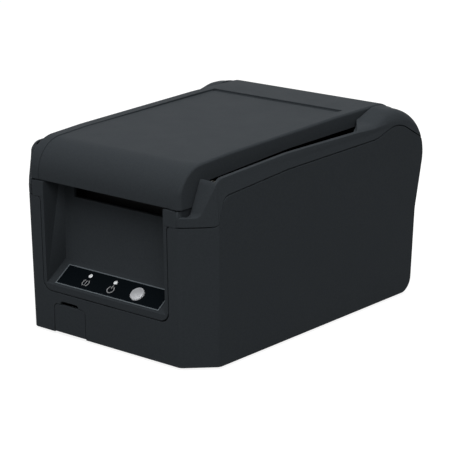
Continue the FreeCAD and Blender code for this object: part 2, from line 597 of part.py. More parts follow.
def common(name, *parts):
    return join("Part::MultiCommon", name, list(parts))


def cut(name, base, *tools):
    solid = doc.addObject("Part::Cut", name)
    solid.Base = base
    solid.Tool = tools[0] if len(tools) == 1 else fuse(name + "_tools", *tools)
    return solid


def mirrored(name, source):
    """The same shape on the other side of the middle."""
    other = doc.addObject("Part::Mirroring", name)
    other.Source = source
    other.Normal = Vec(1, 0, 0)
    return other


def both_sides(name, source):
    """The shape and its mirror image, as two solids or one where they meet."""
    return fuse(name, source, mirrored(name + "_mirror", source))


def turned(name, axis, corners):
    """A turned solid about the X or Z axis, from corners given as (along the axis, radius)."""
    plane = {"x": "XY", "z": "XZ"}[axis]
    points = corners if axis == "x" else [(corner[1], corner[0]) for corner in corners]
    solid = doc.addObject("Part::Revolution", name)
    solid.Source = outline(name + "_outline", plane, points)
    solid.Axis = {"x": Vec(1, 0, 0), "z": Vec(0, 0, 1)}[axis]
    solid.Angle = 360
    solid.Solid = True
    return solid


def group(name, *parts):
    """Several solids kept apart in one object."""
    bunch = doc.addObject("Part::Compound", name)
    bunch.Links = list(parts)
    return bunch


def within(half, middle="0"):
    """Low and high ends of a span about a middle."""
    return f"({middle}) - ({half})", f"({middle}) + ({half})"


def on_slope(thing, back="0", lift="0"):
    """Turn something drawn on a level floor onto the recess's sloped floor."""
    thing.Placement = FreeCAD.Placement(Vec(), FreeCAD.Rotation(Vec(1, 0, 0), 30))
    return bind(thing, y=f"floor_front_depth + ({back})", z=f"floor_front_height + ({lift})",
                turn="floor_slope")


NODES = []


def finish(thing, label):
    """Name a finished sub-part and move it from the design frame to the part's own frame."""
    thing.Label = label
    NODES.append(bind(thing, y="-case_depth / 2", z="foot_height"))


def finish_on_slope(thing, label):
    """The same for a sub-part drawn on the recess's sloped floor."""
    thing.Label = label
    NODES.append(on_slope(thing, "-case_depth / 2", "foot_height"))


# Lines and blocks that several mouldings share

BEHIND = f"case_depth - ({OUT})"


def half_plan_corners(inset):
    """Right half of the case's plan at the underside, with a chamfered front corner, drawn in by inset."""
    half = "case_width / 2 - side_draft"
    slip = f"(sqrt(2) - 1) * ({inset})"
    side = f"{half} - ({inset})"
    front = f"front_draft + ({inset})"
    return [(f"-({PAST})", front),
            (f"{half} - front_chamfer - {slip}", front),
            (side, f"front_draft + front_chamfer + {slip}"),
            (side, BEHIND),
            (f"-({PAST})", BEHIND)]


def side_corners(inset, drop):
    """Side outline of the case, drawn in by inset; drop is the share of its edge rounds taken off."""
    ear = f"(({inset}) + ({drop}) * (ear_shoulder_radius - ({inset})))"
    crest = f"(({inset}) + ({drop}) * ear_crest_drop)"
    foot = f"(({inset}) + ({drop}) * ear_foot_drop)"
    rear = f"(({inset}) + ({drop}) * (rear_edge_radius - ({inset})))"
    rim = f"(({inset}) + ({drop}) * rim_edge_radius)"
    return [(OUT, "0"),
            (f"case_depth - rear_bottom_inset - {rear}", "0", "rear_foot_radius"),
            (f"case_depth - rear_waist_inset - {rear}", "case_height - rear_waist_drop", "rear_waist_radius"),
            (f"case_depth + rear_corner_out - {ear}", f"case_height - ear_drop - {ear}",
             f"rear_radius - {ear}"),
            ("ear_rise_end", f"case_height - ear_drop - {crest}", "ear_crest_radius"),
            ("ear_rise_start", f"case_height - rim_rear_drop - {foot}", "ear_foot_radius"),
            ("rim_mid_depth", f"case_height - rim_mid_drop - {rim}"),
            (f"rim_front_depth + ({inset})", f"case_height - rim_front_drop - {rim}", "rim_front_radius"),
            (f"rim_step_depth + ({inset})", f"rim_low_height - {rim}", "rim_step_radius"),
            (OUT, f"rim_low_height - {rim}")]


def leaning_plan(name, inset):
    """The case's plan run upwards, leaning out to the sides and to the front."""
    right = run_out(name + "_right", outline(name + "_plan", "XY", half_plan_corners(inset)), Vec(0, 0, 1))
    rise = "(2 * case_height)"
    bind(right, **{"Dir.x": f"side_draft * {rise} / (case_height - shoulder_drop)",
                   "Dir.y": f"-front_draft * {rise} / rim_low_height", "Dir.z": rise})
    plan = both_sides(name + "_leaning", right)
    plan.Refine = True
    return plan


def square_form(name, inset):
    """The outside of the case without its edge rounds, drawn in by inset."""
    side = prism(name + "_side", "YZ", side_corners(inset, "0"), "-case_width", "case_width")
    return common(name, leaning_plan(name, inset), side)


def case_form(name, inset):
    """The whole outside of the case as one block, drawn in by inset."""
    # The rounded shoulders are lofted through side outlines that shrink along a quarter circle.
    reach = f"(ear_shoulder_radius - ({inset}))"
    edge = f"(case_width / 2 + fit_gap - ({inset}))"
    cap = doc.addObject("Part::Loft", name + "_cap")
    stations = []
    for angle in (0, 30, 60, 90):
        station = outline(f"{name}_station_{angle}", "YZ", side_corners(inset, f"1 - sin({angle})"))
        stations.append(bind(station, x=f"{edge} - {reach} * (1 - cos({angle}))"))
    cap.Sections = stations
    cap.Solid = True
    middle = prism(name + "_middle", "YZ", side_corners(inset, "0"), *within(f"{edge} - {reach}"))
    rounded = fuse(name + "_round", middle, cap, mirrored(name + "_other_cap", cap))
    return common(name, leaning_plan(name, inset), rounded)


def seam_line(lift, back="0"):
    """The seam between the case halves, front to rear, lifted and with its step moved back."""
    def at(drop):
        return f"case_height - ({drop}) + ({lift})"
    fall = f"seam_crest_drop + seam_fall * ({BEHIND} - seam_crest_depth)"
    return [(OUT, at("seam_front_drop")),
            (f"seam_step_depth + ({back})", at("seam_front_drop"), "seam_step_radius"),
            (f"seam_rise_depth + ({back})", at("seam_rise_drop"), "seam_rise_radius"),
            ("seam_mid_depth", at("seam_mid_drop")),
            ("seam_rear_depth", at("seam_rear_drop"), "seam_round"),
            ("seam_crest_depth", at("seam_crest_drop"), "seam_round"),
            (BEHIND, at(fall))]


def region(name, line, level):
    """All that lies between a line seen from the side and a level far above or below it."""
    return prism(name, "YZ", line + [(line[-1][0], level), (line[0][0], level)], *within(FAR))


def above(name, lift, back="0"):
    return region(name, seam_line(lift, back), FAR)


def below(name, lift, back="0"):
    return region(name, seam_line(lift, back), "-" + FAR)


def slab(name, y, z):
    """A block across the whole width."""
    return block(name, within(FAR), y, z)


envelope = case_form("envelope", "0")
inside = case_form("inside", "wall + fit_gap")
UNDER_DECK = "-deck_drop - deck_thick"


def window_corners(gap):
    """The U-shaped window in the front, drawn in by gap, with its mouth opening along the seam."""
    half = f"window_half - ({gap})"
    bottom = f"window_bottom + ({gap})"
    top = f"seam_front + ({gap})"
    wide = "window_half + 2 * window_top_radius"
    right = [(half, bottom, "window_radius"), (half, top, "window_top_radius"), (wide, top), (wide, FAR)]
    return right + [(f"-({across})", *rest) for across, *rest in reversed(right)]


BUTTON = ("mark_across", "button_up")
LIGHTS = [("-mark_across", "light_up"), ("0", "light_up")]
SOCKETS = ("power", "usb", "network", "drawer")


def corner_places(across, *depths):
    """The places of screws or feet: both sides at each depth."""
    return [(side + across, depth) for side in ("", "-") for depth in depths]


BOSSES = corner_places("boss_across", "boss_front_depth", "boss_rear_depth")
FEET = corner_places("foot_across", "foot_front_depth", "foot_rear_depth")
BOARD_HOLES = corner_places("board_hole_across", "board_hole_front", "board_hole_rear")
POSTS = corner_places("post_front_across", "platen_depth")
POSTS += corner_places("post_rear_across", "post_rear_depth")
PLATEN = ("platen_depth", "platen_height")
IDLER = ("idler_depth", "idler_height")
PINION = ("pinion_depth", "pinion_height")
HINGE = ("hinge_depth", "hinge_height")
TRUNNION = ("platen_depth", "trunnion_height")
ROCKER = ("pocket_depth + rocker_set", "switch_height")
DOOR_PIN = ("front_draft + door_thick / 2", "door_pin_height")


def door_outline(gap, bottom):
    left, right = within(f"door_half + ({gap})", "door_middle")
    top, radius = f"door_height + ({gap})", f"door_radius + ({gap})"
    return [(left, bottom), (right, bottom), (right, top, radius), (left, top, radius)]


def around_door(reach):
    return within(reach, "door_middle")


def switch_level(reach):
    return within(reach, "switch_height")


# Case and lid

def switch_pocket_cuts():
    """Everything cut out of the lower case for the flap, its pins and the power switch."""
    clear = "door_half + door_gap"
    inner = "front_draft + wall"
    ceiling = "door_height + pocket_room"
    room = block("pocket_room", around_door(clear), (inner, "pocket_depth"), ("pocket_wall", ceiling))
    mouth = prism("pocket_mouth", "XZ", door_outline("door_gap", OUT), OUT, inner)
    sill = block("pocket_sill", around_door(clear), (OUT, f"{inner} + wall"), (OUT, "2 * pocket_wall"))
    left, right = around_door("notch_half")
    low, top = "door_height - notch_rise", "door_height + door_gap + notch_rise"
    notch_corners = [(left, low), (right, low), (right, top, "notch_rise"), (left, top, "notch_rise")]
    notch = prism("finger_notch", "XZ", notch_corners, OUT, inner)
    hole = block("switch_hole", around_door("switch_half + switch_gap"),
                 (f"pocket_depth - {PAST}", f"pocket_depth + pocket_wall + {PAST}"),
                 switch_level("switch_half_height + switch_gap"))
    pin_hole = rod("door_pin_hole", "x", "door_pin + running_gap",
                   *around_door(f"{clear} + door_pin_length"), *DOOR_PIN)
    return [room, mouth, sill, notch, hole, pin_hole]


def socket_span(kind, gap):
    """Across and height of a rear socket, with a gap around it."""
    return (within(f"{kind}_half + ({gap})", f"{kind}_middle"),
            (f"board_top - ({gap})", f"board_top + {kind}_tall + ({gap})"))


def lower_case():
    outer = common("lower_outer", envelope, below("under_seam", "0"))
    shell = cut("lower_shell", outer, case_form("lower_inner", "wall"))
    window = prism("window", "XZ", window_corners("0"), OUT, "wall + seam_step_depth")
    boss_rods = fuse("boss_rods", *rods("boss", "boss_radius", "base_thick", "case_height", BOSSES))
    bosses = common("case_bosses", boss_rods, below("under_deck_bosses", UNDER_DECK, "deck_thick"))
    pocket_block = block("pocket_block", around_door("door_half + door_gap + pocket_wall"),
                         ("front_draft", "pocket_depth + pocket_wall"),
                         ("0", "door_height + pocket_room + pocket_wall"))
    body = fuse("lower_body", shell, bosses, common("pocket_box", envelope, pocket_block))
    screw_holes = rods("case_screw_hole", "screw_radius", "0",
                       f"screw_head_height + screw_length + {PAST}", BOSSES)
    mouths = []
    for kind in SOCKETS:
        across, height = socket_span(kind, "socket_gap")
        mouths.append(block(f"{kind}_mouth", across, ("board_rear", FAR), height))
    return cut("lower_case", body, window, *switch_pocket_cuts(), *screw_holes, *mouths)


def upper_rim():
    """The rim strip, ears and rear, with the finger wells and the space for the lid's tail cut out."""
    skin = common("upper_skin", envelope, above("over_seam", "seam_gap"))
    tongue = common("upper_tongue", inside, above("over_tongue", "-tongue"))
    # The ears stay solid in front and along their inner wall, and hollow behind.
    ear_front = block("ear_front", ("ear_inner", FAR),
                      ("well_turn_depth - well_turn", "ear_rise_end - ear_rise / 2"),
                      ("0", FAR))
    ear_wall = block("ear_wall", ("ear_inner", "ear_inner + ear_plate"), ("ear_rise_start", FAR), ("0", FAR))
    keep = both_sides("ear_keep", fuse("ear_keep_right", ear_front, ear_wall))
    hollow = cut("upper_hollow", square_form("upper_inner", "rim_wall"), keep)
    half = "case_width / 2 - rim_wall"
    right = [("ear_inner", "rim_wall"),
             ("ear_inner", "rim_front_depth"),
             (half, "rim_front_depth"),
             (half, "well_turn_depth"),
             ("ear_inner", "well_end_depth"),
             ("ear_inner", "hinge_depth")]
    left = [(f"-({across})", along) for across, along in reversed(right)]
    well = prism("finger_well", "XY", right + left, "0", FAR)
    # Only a lip of the rim keeps its full height beside the wells.
    lip = "case_width / 2 - rim_lip"
    ledge = prism("rim_ledge", "XY", [("ear_inner", "rim_front_depth"), (lip, "rim_front_depth"),
                                      (lip, "well_turn_depth"), ("ear_inner", "well_end_depth")], "0", FAR)
    lowered = prism("rim_lowered", "YZ", side_corners("rim_step", "0"), *within(FAR))
    step = both_sides("rim_steps", cut("rim_step_right", ledge, lowered))
    across = within("ear_inner")
    tail = block("tail_space", across, ("hinge_depth - sweep_gap", FAR), ("hinge_height + bridge_rise", FAR))
    sweep = rod("tail_sweep", "x", "roll_radius + sweep_gap", *across, *HINGE)
    return cut("upper_rim", fuse("upper_outer", skin, tongue), hollow, well, step, tail, sweep)


def deck():
    """Floor of the finger wells, open over the mechanism and over the paper roll."""
    reach = slab("deck_reach", ("recess_depth + pan_wall", "deck_end_depth"), ("0", FAR))
    band = common("deck_band", above("over_deck", UNDER_DECK, "deck_thick"),
                  below("under_deck", "-deck_drop"),
                  common("deck_plan", inside, reach))
    bay = block("bay_opening", within("bay_half"), ("0", "chassis_rear"), ("0", FAR))
    roll = block("roll_opening", within("roll_opening_half"), ("0", FAR), ("0", FAR))
    return cut("deck", band, bay, roll)


def floor_level(depth):
    """Height of the recess's sloped floor."""
    return f"floor_front_height + ({depth} - floor_front_depth) * tan(floor_slope)"


def recess_pan():
    """Walls and floor of the recess, before the recess itself is cut out."""
    plug = prism("pan_plug", "XZ", window_corners("seam_gap"), OUT, "recess_depth + pan_wall")
    back_wall = block("back_wall", within("window_half - seam_gap"),
                      ("recess_depth", "recess_depth + pan_wall"),
                      ("floor_front_height", "lid_front_edge - seam_gap"))
    walled = fuse("pan_walled", common("pan", envelope, plug), back_wall)
    reach = "(recess_depth + 2 * pan_wall)"
    drop = "pan_wall / cos(floor_slope)"
    under = [("pan_lip", "0"), (reach, "0"), (reach, f"{floor_level(reach)} - {drop}"),
             ("pan_lip", f"{floor_level('pan_lip')} - {drop}")]
    return cut("pan_open", walled, prism("under_floor", "YZ", under, *within("recess_half - pan_wall")))


def upper_case():
    # The pillars carry the sides of the recess on up to the lid.
    inner = f"recess_half - {PAST}"
    pillar = prism("pillar", "XY",
                   [(inner, "0"), ("bay_half - pillar_corner", "0"), ("bay_half", "pillar_corner"),
                                    ("bay_half", "pillar_depth"), (inner, "pillar_depth")],
                   "seam_front", "lid_front_edge - seam_gap")
    boss_places = [("panel_boss_across", "button_up"), ("-panel_boss_across", "button_up")]
    bosses = rods("panel_boss", "panel_boss_radius", "panel_board_top", "-pan_wall / 2", boss_places)
    body = fuse("upper_body", upper_rim(), deck(), recess_pan(), both_sides("pillars", pillar),
                on_slope(group("panel_bosses", *bosses)))
    recess_side = prism("recess_side", "YZ",
                        [(OUT, "floor_front_height"), ("floor_front_depth", "floor_front_height"),
                                              ("recess_depth", floor_level("recess_depth")),
                                              ("recess_depth", FAR), (OUT, FAR)], *within(FAR))
    recess = common("recess", recess_side,
                    block("recess_width", within("recess_half"), (OUT, FAR), ("0", FAR)))
    slot = block("slot", within("slot_half"), ("0", "recess_depth + 2 * pan_wall"), ("slot_bottom", FAR))
    through = ("-2 * pan_wall", "pan_wall")
    panel_holes = rods("button_hole", "button_radius + fit_gap", *through, [BUTTON])
    panel_holes += rods("light_hole", "light_radius + fit_gap", *through, LIGHTS)
    pin_hole = rod("ear_pin_hole", "x", "hinge_pin", f"ear_inner - {PAST}", "ear_inner + ear_plate", *HINGE)
    return cut("upper_case", body, recess, slot, both_sides("ear_pin_holes", pin_hole),
               on_slope(fuse("panel_holes", *panel_holes)))


def lid_profile(inset):
    """The lid's outer line seen from the side, front edge to hinge tail, drawn in by inset."""
    return [(f"lid_front + ({inset})", f"lid_top - lid_brow_drop - ({inset})",
             f"lid_brow_radius - ({inset})"),
            ("lid_mid_depth", f"lid_top - lid_mid_drop - ({inset})"),
            ("lid_rear_depth", f"lid_top - lid_rear_drop - ({inset})"),
            (f"hinge_depth + roll_radius - ({inset})", f"lid_top - ({inset})", f"roll_radius - ({inset})")]


def lid_width(name, inset):
    """The lid's leaning sides, drawn in by inset."""
    lean = "lid_lean / (lid_top - lid_front_edge)"
    low, high = "0", "2 * lid_top"

    def half(height):
        return f"lid_top_half + (lid_top - ({height})) * {lean} - ({inset})"

    corners = [(half(low), low), (half(high), high), (f"-({half(high)})", high), (f"-({half(low)})", low)]
    return prism(name, "XZ", corners, OUT, FAR)


def lid_room():
    """The space under the lid."""
    side = [("lid_front + lid_wall", "0")] + lid_profile("lid_wall")
    side += [("hinge_depth + roll_radius - lid_wall", "0")]
    return common("lid_inner", prism("lid_inner_side", "YZ", side, *within(FAR)),
                  lid_width("lid_inner_width", "lid_wall"))


under_lid = lid_room()


def lid_shell():
    tail = "hinge_depth - lid_tail_length"
    tail_level = "hinge_height - lid_tail_drop"
    edge = [("hinge_depth + roll_radius", tail_level), (tail, tail_level),
            (f"{tail} - lid_tail_slant", "lid_top - lid_edge_end_drop"),
            ("lid_edge_depth", "lid_top - lid_edge_drop"),
            ("lid_side_depth", "lid_top - lid_side_drop", "lid_side_radius"),
            ("lid_claw_depth", "lid_front_edge", "lid_claw_radius"), ("lid_front", "lid_front_edge")]
    side = prism("lid_side", "YZ", lid_profile("0") + edge, *within(FAR))
    left, right = within(f"lid_bottom_half + {PAST}")
    plan = prism("lid_plan", "XY", [(right, "lid_front", "lid_corner"), (right, FAR), (left, FAR),
                                    (left, "lid_front", "lid_corner")], "0", FAR)
    outer = common("lid_outer", side, plan, lid_width("lid_width", "0"))
    # The sunken panel follows the lid's top from its front edge to a groove near the rear.
    under_edge = f"lid_front_edge - {PAST}"
    panel_line = [(OUT, under_edge), ("lid_front + panel_sink", under_edge)] + lid_profile("panel_sink")[:2]
    panel_line += [("panel_end_depth", "lid_top - lid_rear_drop - panel_rear_sink"), ("panel_end_depth", FAR),
                   (OUT, FAR)]
    panel = prism("panel_room", "YZ", panel_line, *within("panel_half"))
    groove = block("groove", within("panel_half"), ("panel_end_depth - groove_width", "panel_end_depth"),
                   ("lid_top - lid_rear_drop - groove_depth", FAR))
    boss = rod("hinge_boss_right", "x", "hinge_boss", "hinge_boss_inner", "lid_top_half - lid_wall / 2",
               *HINGE)
    bore = rod("hinge_bore", "x", "hinge_pin + running_gap", *within("ear_inner"), *HINGE)
    shell = cut("lid_hollow", outer, under_lid, panel, groove)
    return cut("lid_shell", fuse("lid_bossed", shell, both_sides("hinge_bosses", boss)), bore)


def hinge_pins():
    pin = rod("hinge_pin_right", "x", "hinge_pin", "hinge_boss_inner", "ear_inner + ear_plate", *HINGE)
    return group("hinge_pins", pin, mirrored("hinge_pin_left", pin))


# Base, feet and screws

def base_plate():
    side, turn = half_plan_corners("wall + fit_gap")[2]
    rear = "case_depth - rear_bottom_inset - rear_foot_radius - wall - 2 * fit_gap"
    right = [half_plan_corners("wall + fit_gap")[1], (side, turn), (side, rear, "ear_shoulder_radius")]
    left = [(f"-({across})", *rest) for across, *rest in reversed(right)]
    plate = prism("base_slab", "XY", right + left, "0", "base_thick")
    posts = rods("chassis_post", "post_radius", "0", "chassis_bottom", POSTS)
    posts += rods("board_post", "board_post", "0", "board_bottom", BOARD_HOLES)
    around = block("pocket_notch", around_door("door_half + 2 * door_gap + pocket_wall"),
                   (OUT, "pocket_depth + pocket_wall + door_gap"), (OUT, FAR))
    holes = rods("base_screw_hole", "screw_radius", "0", "base_thick", BOSSES)
    holes += rods("base_screw_seat", "screw_head + fit_gap", "0", "screw_head_height", BOSSES)
    holes += rods("chassis_post_hole", "screw_radius", "chassis_bottom + plate_thick - screw_length",
                  "chassis_bottom", POSTS)
    holes += rods("board_post_hole", "screw_radius", "base_thick", "board_bottom", BOARD_HOLES)
    return cut("base_plate", fuse("base_body", plate, *posts), around, *holes)


def screws(name, places, level, length, pointing):
    """Pan-headed screws with their heads seated on a level, pointing up (1) or down (-1)."""
    head, tip = f"{-pointing} * screw_head_height", f"{pointing} * ({length})"
    corners = [(head, "0"), (head, "screw_head"), ("0", "screw_head"), ("0", "screw_radius"),
               (tip, "screw_radius"), (tip, "0")]
    made = []
    for index, (across, depth) in enumerate(places):
        made.append(bind(turned(f"{name}_{index}", "z", corners), x=across, y=depth, z=level))
    return group(name, *made)


def rubber_feet():
    middle, low = "-foot_height / 2", "-foot_height"
    corners = [("0", "0"), ("0", "foot_radius"), (middle, "foot_radius"),
               (low, "foot_radius - foot_height / 2"), (low, "0")]
    made = [bind(turned(f"foot_{index}", "z", corners), x=across, y=depth)
            for index, (across, depth) in enumerate(FEET)]
    return group("rubber_feet", *made)


# Switch flap and power switch

def switch_door():
    plate = prism("door_plate", "XZ", door_outline("0", "door_bottom"), OUT, "front_draft + door_thick")
    pins = rod("door_pins", "x", "door_pin", *around_door("door_half + door_pin_length"), *DOOR_PIN)
    return fuse("switch_door", common("door_skin", envelope, plate), pins)


def power_switch():
    rear = "pocket_depth + switch_length"
    bezel = block("switch_bezel", around_door("switch_half + bezel_edge"),
                  ("pocket_depth - bezel_thick", "pocket_depth"),
                  switch_level("switch_half_height + bezel_edge"))
    body = block("switch_body", around_door("switch_half"), ("pocket_depth", rear),
                 switch_level("switch_half_height"))
    blades = [block(f"switch_blade_{index}", within("blade_half", f"door_middle {side} blade_across"),
                    (rear, f"{rear} + blade_length"), switch_level("blade_thick / 2"))
              for index, side in enumerate("-+")]
    room = block("rocker_room", around_door("rocker_half + rocker_gap"), ("0", f"{ROCKER[0]} + rocker_half"),
                 switch_level("rocker_tall + rocker_sweep"))
    bore = rod("rocker_bore", "x", "rocker_pin + running_gap",
               *around_door("rocker_half + rocker_gap + rocker_pin_length"), *ROCKER)
    return cut("power_switch", fuse("switch_solid", bezel, body, *blades), room, bore)


def switch_rocker():
    pivot, level = ROCKER
    face = [(f"{pivot} + rocker_back", f"{level} - 0.9 * rocker_tall"),
            (f"{pivot} - rocker_in", f"{level} - rocker_tall"),
            (f"{pivot} - rocker_dip", level),
            (f"{pivot} - rocker_out", f"{level} + rocker_tall"),
            (f"{pivot} + rocker_back", f"{level} + 0.9 * rocker_tall")]
    pins = rod("rocker_pins", "x", "rocker_pin", *around_door("rocker_half + rocker_pin_length"), *ROCKER)
    return fuse("switch_rocker", prism("rocker_body", "YZ", face, *around_door("rocker_half")), pins)


# Gears and print mechanism

PRESSURE_ANGLE = 20


def gear(name, teeth, tooth_angle, bore, place):
    """A spur gear about an X axis, one tooth centred on an angle in degrees from +Y towards +Z."""
    count = round(value(teeth))
    module = value("gear_module")
    pitch = module * count / 2
    base = pitch * math.cos(math.radians(PRESSURE_ANGLE))
    tip = pitch + module
    root = min(pitch - 1.25 * module, base)
    half_tooth = math.pi / (2 * count) - value("gear_backlash") / (4 * pitch)

    def unwound(radius):
        angle = math.acos(base / radius)
        return math.tan(angle) - angle

    flank = [(radius, half_tooth + unwound(pitch) - unwound(radius)) for radius in (base, pitch, tip)]
    flank = [(root, flank[0][1])] + flank if base - root > module / 8 else flank
    points = []
    for tooth in range(count):
        middle = math.radians(tooth_angle) + 2 * math.pi * tooth / count
        rising = [(radius, middle - half) for radius, half in flank]
        falling = [(radius, middle + half) for radius, half in reversed(flank)]
        for radius, angle in rising + falling:
            points.append(Vec(0, radius * math.cos(angle), radius * math.sin(angle)))
    face = doc.addObject("Part::Feature", name + "_outline")
    face.Shape = Part.Face(Part.makePolygon(points + points[:1]))
    bind(face, x="gear_inner", y=place[0], z=place[1])
    blank = bind(run_out(name + "_blank", face, Vec(1, 0, 0)), LengthFwd="gear_width")
    return cut(name, blank, rod(name + "_bore", "x", bore, f"gear_inner - {PAST}",
                                f"gear_inner + gear_width + {PAST}", *place))


def gears():
    """The three gears, each turned so that its teeth meet the gaps of the next."""
    half_turn = 180
    up = half_turn / 2 + value("idler_lean")
    aside = value("pinion_angle")
    step = 2 * half_turn / value("idler_teeth")
    nearest = (up - aside + step / 2) % step - step / 2
    pinion_gap = aside + half_turn - nearest * value("idler_teeth") / value("pinion_teeth")
    platen_angle = up + half_turn + half_turn / value("platen_teeth")
    pinion_tooth = pinion_gap + half_turn / value("pinion_teeth")
    return (gear("platen_gear", "platen_teeth", platen_angle, "shaft_radius", PLATEN),
            gear("idler_gear", "idler_teeth", up, "post_pin + running_gap", IDLER),
            gear("motor_pinion", "pinion_teeth", pinion_tooth, "motor_shaft_radius", PINION))


def chassis():
    slope = [("chassis_front", "chassis_bottom"), ("chassis_rear", "chassis_bottom"),
             ("chassis_rear", "chassis_top - chassis_slope"), ("platen_depth + platen_set", "chassis_top"),
             ("chassis_front + chassis_corner", "chassis_top"),
             ("chassis_front", "chassis_top - chassis_corner")]
    side = prism("chassis_side", "YZ", slope, "plate_inner", "plate_inner + plate_thick")
    floor = block("chassis_floor", within("plate_inner + plate_thick"), ("chassis_front", "chassis_rear"),
                  ("chassis_bottom", "chassis_bottom + plate_thick"))
    reach = within("gear_inner")
    near, far = within("bushing_radius + fit_gap", "platen_depth")
    flared_near, flared_far = within("bushing_radius + bushing_flare", "platen_depth")
    top = "chassis_top + bushing_radius"
    seat = rod("bushing_seat", "x", "bushing_radius + fit_gap", *reach, *PLATEN)
    mouth = prism("bushing_mouth", "YZ", [(near, "platen_height"), (far, "platen_height"), (flared_far, top),
                                          (flared_near, top)], *reach)
    holes = [rod("post_pin_hole", "x", "post_pin", "0", "gear_inner", *IDLER),
             rod("motor_boss_hole", "x", "motor_boss", "0", "gear_inner", *PINION),
             rod("trunnion_hole", "x", "trunnion_radius", *reach, *TRUNNION)]
    holes += rods("chassis_screw_hole", "screw_radius", "chassis_bottom", "chassis_bottom + plate_thick",
                  POSTS)
    return cut("chassis", fuse("chassis_bent", both_sides("chassis_sides", side), floor), seat, mouth, *holes)


def print_head():
    plate = block("head_plate", within("head_half"), ("head_front", "head_rear"), ("sink_top", "head_top"))
    plug = block("head_plug", within("head_plug_half"), ("head_rear", "head_rear + head_plug_depth"),
                 ("sink_top - head_plug_height", "sink_top + head_thick / 2"))
    return fuse("print_head", plate, plug)


def head_heatsink():
    across = within("head_half")
    top = block("sink_block", across, ("head_front", "head_rear"), ("sink_top - sink_thick", "sink_top"))
    room = "(head_rear - head_front - fin_thick) / 3"
    fins = []
    for index in range(4):
        near = f"head_front + {index} * {room}"
        fins.append(block(f"fin_{index}", across, (near, f"{near} + fin_thick"), ("sink_bottom", "sink_top")))
    pins = rod("trunnions", "x", "trunnion_radius", *within("plate_inner + plate_thick"), *TRUNNION)
    return fuse("head_heatsink", top, pins, *fins)


def head_spring():
    low = "chassis_bottom + plate_thick"
    start, bend = within("spring_foot / 2", "head_front")
    high, crest = "sink_bottom", f"{bend} + spring_lean"
    shape = [(start, low), (f"{bend} + spring_thick", low),
             (f"{crest} + spring_thick", f"{high} - spring_thick"),
             ("head_rear", f"{high} - spring_thick"), ("head_rear", high), (crest, high),
             (bend, f"{low} + spring_thick"), (start, f"{low} + spring_thick")]
    return prism("head_spring", "YZ", shape, *within("spring_half"))


def square_corners(middle, half, chamfer):
    """A square with cut corners about a middle, as expressions."""
    y, z = middle
    far, near = f"({half})", f"({half} - {chamfer})"
    signs = [(near, "-" + far), (far, "-" + near), (far, near), (near, far),
             ("-" + near, far), ("-" + far, near), ("-" + far, "-" + near), ("-" + near, "-" + far)]
    return [(f"{y} + {across}", f"{z} + {up}") for across, up in signs]


def stepper_motor():
    body = prism("motor_body", "YZ", square_corners(PINION, "motor_half", "motor_corner"),
                 "motor_inner", "plate_inner")
    boss = rod("motor_front", "x", "motor_boss", f"plate_inner - {PAST}",
               "plate_inner + plate_thick + motor_boss_proud", *PINION)
    plug = block("motor_plug", ("motor_inner - motor_plug_length", "motor_inner"),
                 within("motor_plug_half", PINION[0]), within("motor_plug_half / 2", PINION[1]))
    bore = rod("motor_bore", "x", "motor_shaft_radius + running_gap", "plate_inner - motor_shaft_set",
               "gear_inner", *PINION)
    return cut("stepper_motor", fuse("motor_solid", body, boss, plug), bore)


def motor_shaft():
    bar = rod("motor_bar", "x", "motor_shaft_radius", "plate_inner - motor_shaft_set",
              "gear_inner + gear_width + shaft_end", *PINION)
    return group("motor_shaft", bar)


def gear_post():
    outer, shoulder = "plate_inner + plate_thick", "gear_inner - post_play"
    end = "gear_inner + gear_width + post_play"
    wide, head = "post_pin + post_collar", "post_pin + post_head"
    corners = [("plate_inner", "0"), ("plate_inner", "post_pin"), (outer, "post_pin"), (outer, wide),
               (shoulder, wide), (shoulder, "post_pin"), (end, "post_pin"), (end, head),
               (f"{end} + post_head", head), (f"{end} + post_head", "0")]
    return group("gear_post", bind(turned("post_turned", "x", corners), y=IDLER[0], z=IDLER[1]))


def platen_bushings():
    bore = "shaft_radius + running_gap"
    end = "cheek_inner + cheek_thick"
    corners = [("bushing_inner", bore), (end, bore), (end, "spigot_radius"), ("cheek_inner", "spigot_radius"),
               ("cheek_inner", "bushing_radius"), ("bushing_inner", "bushing_radius")]
    ring = bind(turned("bushing_right", "x", corners), y=PLATEN[0], z=PLATEN[1])
    return group("platen_bushings", ring, mirrored("bushing_left", ring))


def platen_shaft():
    left = "-(cheek_inner + cheek_thick + collar_gap + collar_thick)"
    bar = rod("shaft_bar", "x", "shaft_radius", left, "gear_inner + gear_width + shaft_end", *PLATEN)
    collar = rod("shaft_collar", "x", "spigot_radius", left, f"{left} + collar_thick", *PLATEN)
    return fuse("platen_shaft", bar, collar)


def platen_roller():
    rubber = rod("roller_rubber", "x", "roller_radius", *within("roller_half"), *PLATEN)
    bore = rod("roller_bore", "x", "shaft_radius", *within(f"roller_half + {PAST}"), *PLATEN)
    return cut("platen_roller", rubber, bore)


def lid_frame():
    across = within("cheek_inner + cheek_thick")
    near, far = within("cheek_reach", "platen_depth")
    low, high = within("cheek_drop", "platen_height")
    front = "tear_front + tear_thick"
    bar_low = "chassis_top + frame_gap"
    wing = [(near, low), (far, low), ("platen_depth + cheek_spread / 2", high),
            ("platen_depth + cheek_spread", "case_height"), (front, "case_height"), (front, bar_low),
            (near, "platen_height")]
    cheek = prism("cheek", "YZ", wing, "cheek_inner", across[1])
    bar = block("frame_front", across, (front, f"{front} + frame_front_thick"),
                (bar_low, f"{bar_low} + frame_bar"))
    tie_front = "platen_depth + tie_set"
    tie = block("frame_tie", across, (tie_front, f"{tie_front} + cheek_thick"),
                ("platen_height + tie_rise", "case_height"))
    body = common("frame_fitted", fuse("frame_body", both_sides("cheeks", cheek), bar, tie), under_lid)
    return cut("lid_frame", body, rod("spigot_hole", "x", "spigot_radius", *across, *PLATEN))


